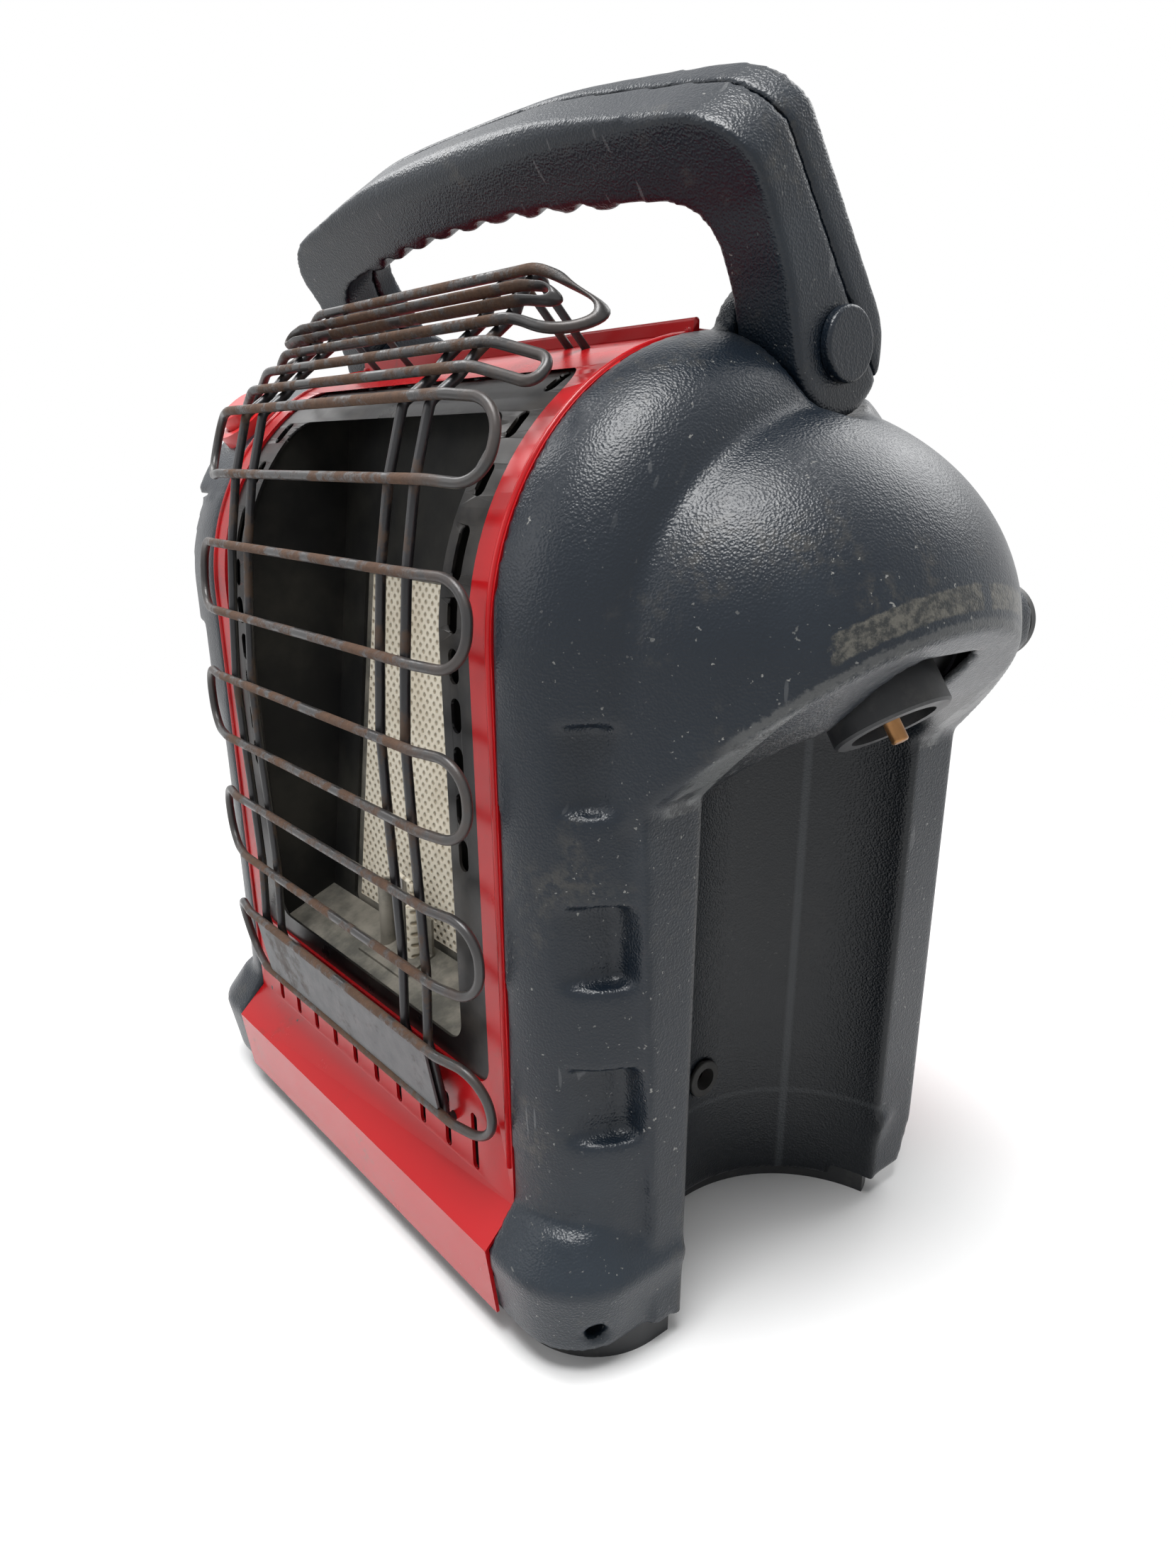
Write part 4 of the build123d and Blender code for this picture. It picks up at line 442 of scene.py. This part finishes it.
# %% Ceramic finish
ceramic = Finish("porous_ceramic", (0.56, 0.5, 0.39), 0.85)
across, _, upward = ceramic.axes()
face = ceramic.node("CombineXYZ", i0=across, i1=upward).outputs[0]
lattice = ceramic.node(
    "VectorRotate", {"rotation_type": "Z_AXIS"}, Vector=face, Angle=math.radians(45)).outputs[0]
dimples = ceramic.node(
    "TexVoronoi", {"voronoi_dimensions": "2D", "feature": "F1"},
    Vector=lattice, Scale=310.0, Randomness=0.0)
pit = ceramic.ramp(dimples.outputs["Distance"], 0.08, 0.36)
age = ceramic.ramp(ceramic.noise(30.0, 5.0), 0.4, 0.7)
clay = ceramic.blend(age, (0.66, 0.61, 0.5), (0.56, 0.5, 0.39))
# The darker colour in the pits is painted shade in the hollows.
ceramic.colour(ceramic.blend(pit, (0.36, 0.3, 0.21), clay))
ceramic.bump(pit, 0.8, 0.0012)
ceramic.roughness(ceramic.noise(300.0, 3.0), 0.75, 0.95)
print(ceramic.material.name, "has", len(ceramic.nodes), "nodes")

# %% [markdown]
# ## Smooth skins over the CAD parts
# A CAD part arrives as loose flat triangles. For a part with curved faces, a copy is merged at
# its doubles and shaded smooth below an angle, so a tube looks round and a fold stays crisp.
# The copy then stands for the part, which stays in the model for its collision. A modifier
# weights its normals by the size of the faces, so that large flat sheets shade evenly.

# %% Skin helper
def only(piece):
    """Select one object alone."""
    bpy.ops.object.select_all(action="DESELECT")
    piece.select_set(True)
    bpy.context.view_layer.objects.active = piece


def skin(node, name, body, finish):
    """A merged, smooth-shaded copy of a CAD part."""
    doubles, crease = 0.000002, math.radians(32)
    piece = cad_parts[node].copy()
    piece.data = piece.data.copy()
    piece.name = piece.data.name = name
    bpy.context.scene.collection.objects.link(piece)
    piece.data.materials.clear()
    piece.data.materials.append(finish.material)
    only(piece)
    bpy.ops.object.mode_set(mode="EDIT")
    bpy.ops.mesh.select_all(action="SELECT")
    bpy.ops.mesh.remove_doubles(threshold=doubles)
    bpy.ops.object.mode_set(mode="OBJECT")
    bpy.ops.object.shade_smooth_by_angle(angle=crease)
    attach(piece, body)
    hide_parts(node)
    return piece


# %% Skins of sheet metal and wire
pieces = {}
for node, name, finish, slot in (
    ("front_panel", "case_front", red_enamel, "red_enamel"),
    ("hood_cover", "case_hood", red_enamel, "red_enamel"),
    ("window_liner", "window_frame", black_enamel, "black_enamel"),
    ("guard_loops", "guard_rods", wire_steel, "guard_wire"),
    ("guard_uprights", "guard_legs", sooty_wire, "guard_wire"),
):
    pieces[name] = skin(node, name, "heater", finish)
    flat = pieces[name].modifiers.new("flat_faces", "WEIGHTED_NORMAL")
    flat.keep_sharp = True
    only(pieces[name])
    bpy.ops.object.modifier_apply(modifier="flat_faces")
    print(name, len(pieces[name].data.polygons), "faces")
case_front, guard_rods, guard_legs = (
    pieces[name] for name in ("case_front", "guard_rods", "guard_legs"))

# %% [markdown]
# ## A rolled bead along the red fascia
# The fascia's side edges are rolled into a thin bead, which draws a bright line of sky beside
# the plastic. A small circle is extruded up the leaning front, spun over the arch and extruded
# back along the top: the same three moves as the press makes.

# %% Lines of the front
front_foot_y, front_foot_z = -0.0799, 0.010
front_slope = 0.0308                     # the front comes forward by this per unit of height
front_turn = math.atan2(9.4, 305.0)      # the same lean as an angle
arch_y, arch_z = -0.00164, 0.230         # axis of the arch over the front


def front_y(height):
    """Where the leaning front stands at a height below the arch."""
    return front_foot_y - front_slope * (height - front_foot_z)


print("front leans forward", round(math.degrees(front_turn), 2), "degrees")

# %% Fascia beads
def rolled_bead(name, bead_x):
    """A bead of 2 mm along one side edge of the fascia."""
    bead_radius, arch_radius = 0.0010, 0.0849
    foot_z, top_end_y = 0.062, -0.015
    arch = Vector((bead_x, arch_y, arch_z))
    foot = Vector((bead_x, front_y(foot_z), foot_z))
    tangent = arch - arch_radius * Vector((0, math.cos(front_turn), math.sin(front_turn)))
    bpy.ops.object.select_all(action="DESELECT")
    bpy.ops.mesh.primitive_circle_add(
        vertices=10, radius=bead_radius, location=foot, rotation=(front_turn, 0, 0))
    bead = bpy.context.object
    bead.name = bead.data.name = name
    bpy.ops.object.transform_apply(location=True, rotation=True, scale=True)
    bpy.ops.object.mode_set(mode="EDIT")
    bpy.ops.mesh.select_all(action="SELECT")
    bpy.ops.mesh.extrude_region_move(TRANSFORM_OT_translate={"value": tangent - foot})
    bpy.ops.mesh.spin(steps=28, angle=math.pi / 2 + front_turn, center=arch, axis=(1, 0, 0))
    bpy.ops.mesh.extrude_region_move(
        TRANSFORM_OT_translate={"value": (0, top_end_y - arch.y, 0)})
    bpy.ops.mesh.select_all(action="SELECT")
    bpy.ops.mesh.remove_doubles(threshold=0.00001)
    bpy.ops.mesh.fill_holes(sides=12)
    bpy.ops.mesh.normals_make_consistent(inside=False)
    bpy.ops.object.mode_set(mode="OBJECT")
    bpy.ops.object.shade_smooth()
    bead.data.materials.append(red_enamel.material)
    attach(bead, "heater")
    top = max(vertex.co.z for vertex in bead.data.vertices)
    print(name, len(bead.data.polygons), "faces, top at", round(top, 4))


fascia_edge = 0.0958
rolled_bead("bead_right", fascia_edge)
rolled_bead("bead_left", -fascia_edge)

# %% [markdown]
# ## Moulded skins
# A moulding has no sharp edge: each corner and each crease is rounded where the mould was.
# Each such part is remade from its solid on a fine grid of cubes, which is the Remesh modifier's
# voxel mode, and then relaxed. That rounds every edge by a millimetre or two.

# %% Mould helper
def moulded(node, name, body, finish, voxel, relax):
    """A softened copy of a moulded part, on cubes of side voxel, relaxed so many times."""
    piece = skin(node, name, body, finish)
    only(piece)
    grid = piece.modifiers.new("grid", "REMESH")
    grid.mode = "VOXEL"
    grid.voxel_size = voxel
    grid.use_smooth_shade = True
    bpy.ops.object.modifier_apply(modifier="grid")
    soft = piece.modifiers.new("soft", "SMOOTH")
    soft.factor = 0.5
    soft.iterations = relax
    bpy.ops.object.modifier_apply(modifier="soft")
    print(name, len(piece.data.polygons), "faces")
    return piece


right_side = moulded("right_side_panel", "right_moulding", "heater", marked, 0.00175, 4)
left_side = moulded("left_side_panel", "left_moulding", "heater", pebbled, 0.00175, 4)
handle_front = moulded("handle_front_shell", "handle_front", "handle", pebbled, 0.0012, 8)
handle_rear = moulded("handle_rear_shell", "handle_rear", "handle", pebbled, 0.0012, 8)

# %% [markdown]
# ## Settling the shapes
# Some forms are softer, squarer or lower on the real heater than a simple solid shows. In each
# step below, vertices are moved by a smooth rule in object space, which keeps walls and wires
# whole. The first is the grip, whose top sinks towards its arms. The handle leans forward from
# its pivots, and the rule measures along that lean, so that the arms stay where they are.

# %% The grip's top
def ease(value, low, high):
    """0 at low, 1 at high, smooth between."""
    share = min(max((value - low) / (high - low), 0.0), 1.0)
    return share * share * (3 - 2 * share)


handle_lean = math.radians(38)
pivot_y, pivot_z = 0.016, 0.311
sink_middle, sink_arms, sink_ends = 0.0012, 0.0036, 0.0025
arms_end, grip_start = 0.04, 0.08        # from the pivots, along the handle
for piece in (handle_front, handle_rear):
    for vertex in piece.data.vertices:
        spot = vertex.co
        forward, upward = pivot_y - spot.y, spot.z - pivot_z
        reach = forward * math.sin(handle_lean) + upward * math.cos(handle_lean)
        aside = abs(spot.x)
        sink = sink_middle
        sink += sink_arms * ease(aside, 0.04, 0.11)
        sink += sink_ends * ease(aside, 0.1, 0.128)
        sink *= ease(reach, arms_end, grip_start)
        spot.y += sink * math.sin(handle_lean)
        spot.z -= sink * math.cos(handle_lean)
print("grip's top at", round(max(v.co.z for v in handle_front.data.vertices), 4))

# %% [markdown]
# ## The guard's top
# The guard's highest rods run back over the case, but end well in front of the handle. They are
# moved forward with the uprights that carry them, and their ends a little inwards.

# %% Rods and uprights at the top
forward_by, down_by, inward_by = 0.016, 0.002, 0.006
rod_middle, rod_bends = 0.02, 0.066      # half of the straight middle, and from there to the end
for piece in (guard_rods, guard_legs):
    for vertex in piece.data.vertices:
        spot = vertex.co
        at_top = ease(spot.y, -0.078, -0.028) * ease(spot.z, 0.3135, 0.329)
        if piece is guard_rods:
            to_end = min(max(abs(spot.x) - rod_middle, 0.0) / rod_bends, 1.0)
            spot.x -= math.copysign(inward_by, spot.x) * at_top * to_end
        spot.y -= forward_by * at_top
        spot.z -= down_by * at_top
    print(piece.name, "reaches back to y", round(max(v.co.y for v in piece.data.vertices), 4))

# %% [markdown]
# ## The left console
# Below its ledge the left side's front corner is a squarer block, which carries the controls.
# Around the rounded corner's centre each vertex is pushed outwards, most where a square corner
# would stand furthest from the round one. The front that it follows leans, then arches over.

# %% Squarer corner
corner_x, corner_radius = -0.1005, 0.031
console_low, console_full = 0.155, 0.19
console_top, ledge_under = 0.2625, 0.2655
arch_start, front_arch_radius = 0.2274, 0.085
squareness = 0.62
moved = 0
for vertex in left_side.data.vertices:
    spot = vertex.co
    share = ease(spot.z, console_low, console_full) * ease(spot.z, ledge_under, console_top)
    edge_y = front_y(min(spot.z, arch_start))
    if spot.z > arch_start:
        edge_y = arch_y - math.sqrt(max(front_arch_radius ** 2 - (spot.z - arch_z) ** 2, 0.0))
    centre_y = edge_y + corner_radius
    out_x, out_y = corner_x - spot.x, centre_y - spot.y
    if share and out_x > 0 and out_y > 0:
        turn = math.atan2(out_y, out_x)
        square = 1 / max(math.cos(turn), math.sin(turn))
        stretch = 1 + share * squareness * (square - 1)
        spot.x = corner_x - out_x * stretch
        spot.y = centre_y - out_y * stretch
        moved += 1
print("console corner:", moved, "vertices moved")

# %% [markdown]
# ## Cooling slots and foot
# The row of short cooling slots starts just above the skirt's fold, so the edges of each are
# moved down the sheet, and a hair back, because the sheet leans forward. The right moulding's
# foot ends level beside the niche.

# %% Lower slots and trimmed foot
slot_pitch, slot_reach = 0.0169, 0.0019  # spacing, and a little more than half a slot's width
slot_drop, slot_back = 0.0075, 0.0002
slots_half, slots_low, slots_high = 0.079, 0.0565, 0.0795
sheet_y = -0.076                         # all of the sheet is in front of this
for vertex in case_front.data.vertices:
    spot = vertex.co
    from_slot = abs(abs(spot.x) % slot_pitch - slot_pitch / 2)
    in_row = abs(spot.x) < slots_half and slots_low < spot.z < slots_high
    if in_row and from_slot < slot_reach and spot.y < sheet_y:
        spot.z -= slot_drop
        spot.y += slot_back

foot_low = 0.0095
for vertex in right_side.data.vertices:
    spot = vertex.co
    by_niche = spot.x > 0.118 and (-0.062 < spot.y < -0.034 or spot.y > 0.058)
    if by_niche and spot.z < foot_low:
        spot.z = foot_low
print("slots lowered by", slot_drop, "and foot trimmed at", foot_low)

# %% [markdown]
# ## The valve pin
# A short brass pin opens the cylinder's valve when a cylinder is screwed in. On this heater it
# stands out of its socket, so the copy's lower end is drawn out along the socket's axis.

# %% Drawn-out pin
brass_pin = skin("valve_pin", "brass_pin", "regulator", brass)
socket_lean = math.radians(36)
drawn_out, end_depth = 0.007, 0.002
out_of_socket = Vector((math.sin(socket_lean), 0, -math.cos(socket_lean)))
reaches = [vertex.co.dot(out_of_socket) for vertex in brass_pin.data.vertices]
for vertex, reach in zip(brass_pin.data.vertices, reaches):
    if reach > max(reaches) - end_depth:
        vertex.co += drawn_out * out_of_socket
pin_tip = max((vertex.co for vertex in brass_pin.data.vertices), key=out_of_socket.dot)
print("pin's lower end at", [round(c, 4) for c in pin_tip])

# %% [markdown]
# ## Finishes of the other parts
# The remaining CAD parts already have the right shape. Each keeps its mesh and only changes its
# material, and the inner parts get as real a finish as the outer ones, because some of them
# show through the window and the louvres.

# %% Dress the remaining parts
for finish, nodes in (
    (black_plastic, (
        "base_pan", "igniter_body", "tip_over_switch", "regulator_cap", "cylinder_socket",
        "control_knob")),
    (sooty, ("heat_chamber", "reflector_wall")),
    (stained_steel, (
        "chamber_floor", "burner_plenum", "supply_pipe", "burner_pipe", "pilot_pipe",
        "venturi_tube", "pilot_bracket", "pilot_burner")),
    (bright_steel, ("thermocouple", "pivot_pins", "side_screws", "base_screws", "knob_stem")),
    (ceramic, ("burner_tile", "igniter_electrode")),
    (brass, ("gas_jet",)),
    (zinc, ("control_valve", "regulator_body")),
    (red_plastic, ("igniter_collar", "igniter_button")),
    (plate_steel, ("guard_plate",)),
    (rubber, ("niche_grommet",)),
    (pebbled, ("pivot_caps",)),
):
    for node in nodes:
        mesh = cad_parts[node].data
        mesh.materials.clear()
        mesh.materials.append(finish.material)
    print(finish.material.name, "on", ", ".join(nodes))

# %% [markdown]
# ## Floor, sky and lamps
# The heater stands on a plain pale floor. A large soft lamp above its right front corner is the
# bright part of an overcast sky. Weaker ones fill from the left, from behind and from the front.
# The sky lights the heater weakly, but the camera, reflections and clear parts see it as white.
# They see the floor as white too, except near the heater, where the floor keeps its shadow.

# %% Lamps
def studio_lamp(name, place, target, size, power):
    """A square soft lamp that faces a target; size in metres, power in watts."""
    data = bpy.data.lights.new(name, "AREA")
    data.size = size
    data.energy = power
    lamp = bpy.data.objects.new(name, data)
    lamp.location = place
    lamp.rotation_euler = (Vector(target) - Vector(place)).to_track_quat("-Z", "Y").to_euler()
    bpy.context.scene.collection.objects.link(lamp)
    print(name, power, "W")


studio_lamp("sky_lamp", (0.25, -0.35, 1.5), (0, 0, 0.2), 0.65, 25)
studio_lamp("left_lamp", (-1.1, -0.25, 1.35), (0, 0, 0.3), 0.7, 9)
studio_lamp("back_lamp", (0.1, 1.1, 1.25), (0, 0, 0.3), 0.9, 9)
studio_lamp("front_lamp", (-0.5, -1.4, 0.9), (0, 0, 0.2), 1.0, 5)

# %% White sky
def seen_rays(tree):
    """1 for rays from the camera, a reflection or a clear part, and 0 for all others."""
    rays = tree.nodes.new("ShaderNodeLightPath")
    seen = rays.outputs["Is Camera Ray"]
    for kind in ("Is Glossy Ray", "Is Transmission Ray"):
        either = tree.nodes.new("ShaderNodeMath")
        either.operation = "MAXIMUM"
        tree.links.new(seen, either.inputs[0])
        tree.links.new(rays.outputs[kind], either.inputs[1])
        seen = either.outputs[0]
    return seen


white, sky_strength = (1, 1, 1, 1), 0.3
world = bpy.data.worlds.new("soft_sky")
bpy.context.scene.world = world
world.use_nodes = True
sky, sky_links = world.node_tree.nodes, world.node_tree.links
sky["Background"].inputs["Color"].default_value = white
sky["Background"].inputs["Strength"].default_value = sky_strength
backdrop = sky.new("ShaderNodeBackground")
backdrop.inputs["Color"].default_value = white
backdrop.inputs["Strength"].default_value = 1.0
sky_mix = sky.new("ShaderNodeMixShader")
sky_links.new(seen_rays(world.node_tree), sky_mix.inputs[0])
sky_links.new(sky["Background"].outputs[0], sky_mix.inputs[1])
sky_links.new(backdrop.outputs[0], sky_mix.inputs[2])
sky_links.new(sky_mix.outputs[0], sky["World Output"].inputs["Surface"])
print("sky of strength", sky_strength, "behind", world.name)

# %% Pale floor
floor_side = 60
shadow_reach, white_from = 0.3, 1.1      # metres from the heater
bpy.ops.object.select_all(action="DESELECT")
bpy.ops.mesh.primitive_plane_add(size=floor_side, location=(0, 0, 0))
floor = bpy.context.object
floor.name = "studio_floor"
pale = Finish("pale_floor", (0.9, 0.9, 0.9), 0.9, specular=0.1)
away = pale.node("VectorMath", {"operation": "LENGTH"}, i0=pale.place).outputs["Value"]
far_and_seen = pale.multiply(
    pale.ramp(away, shadow_reach, white_from), seen_rays(pale.material.node_tree))
glow = pale.node("Emission", Color=white, Strength=1.0)
floor_mix = pale.node(
    "MixShader", i0=far_and_seen, i1=pale.shader.outputs[0], i2=glow.outputs[0])
pale.links.new(floor_mix.outputs[0], pale.nodes["Material Output"].inputs["Surface"])
floor.data.materials.append(pale.material)
bpy.context.scene.view_settings.view_transform = "Standard"
print(floor.name, "is", floor_side, "m wide")

# %% [markdown]
# ## End of the scene
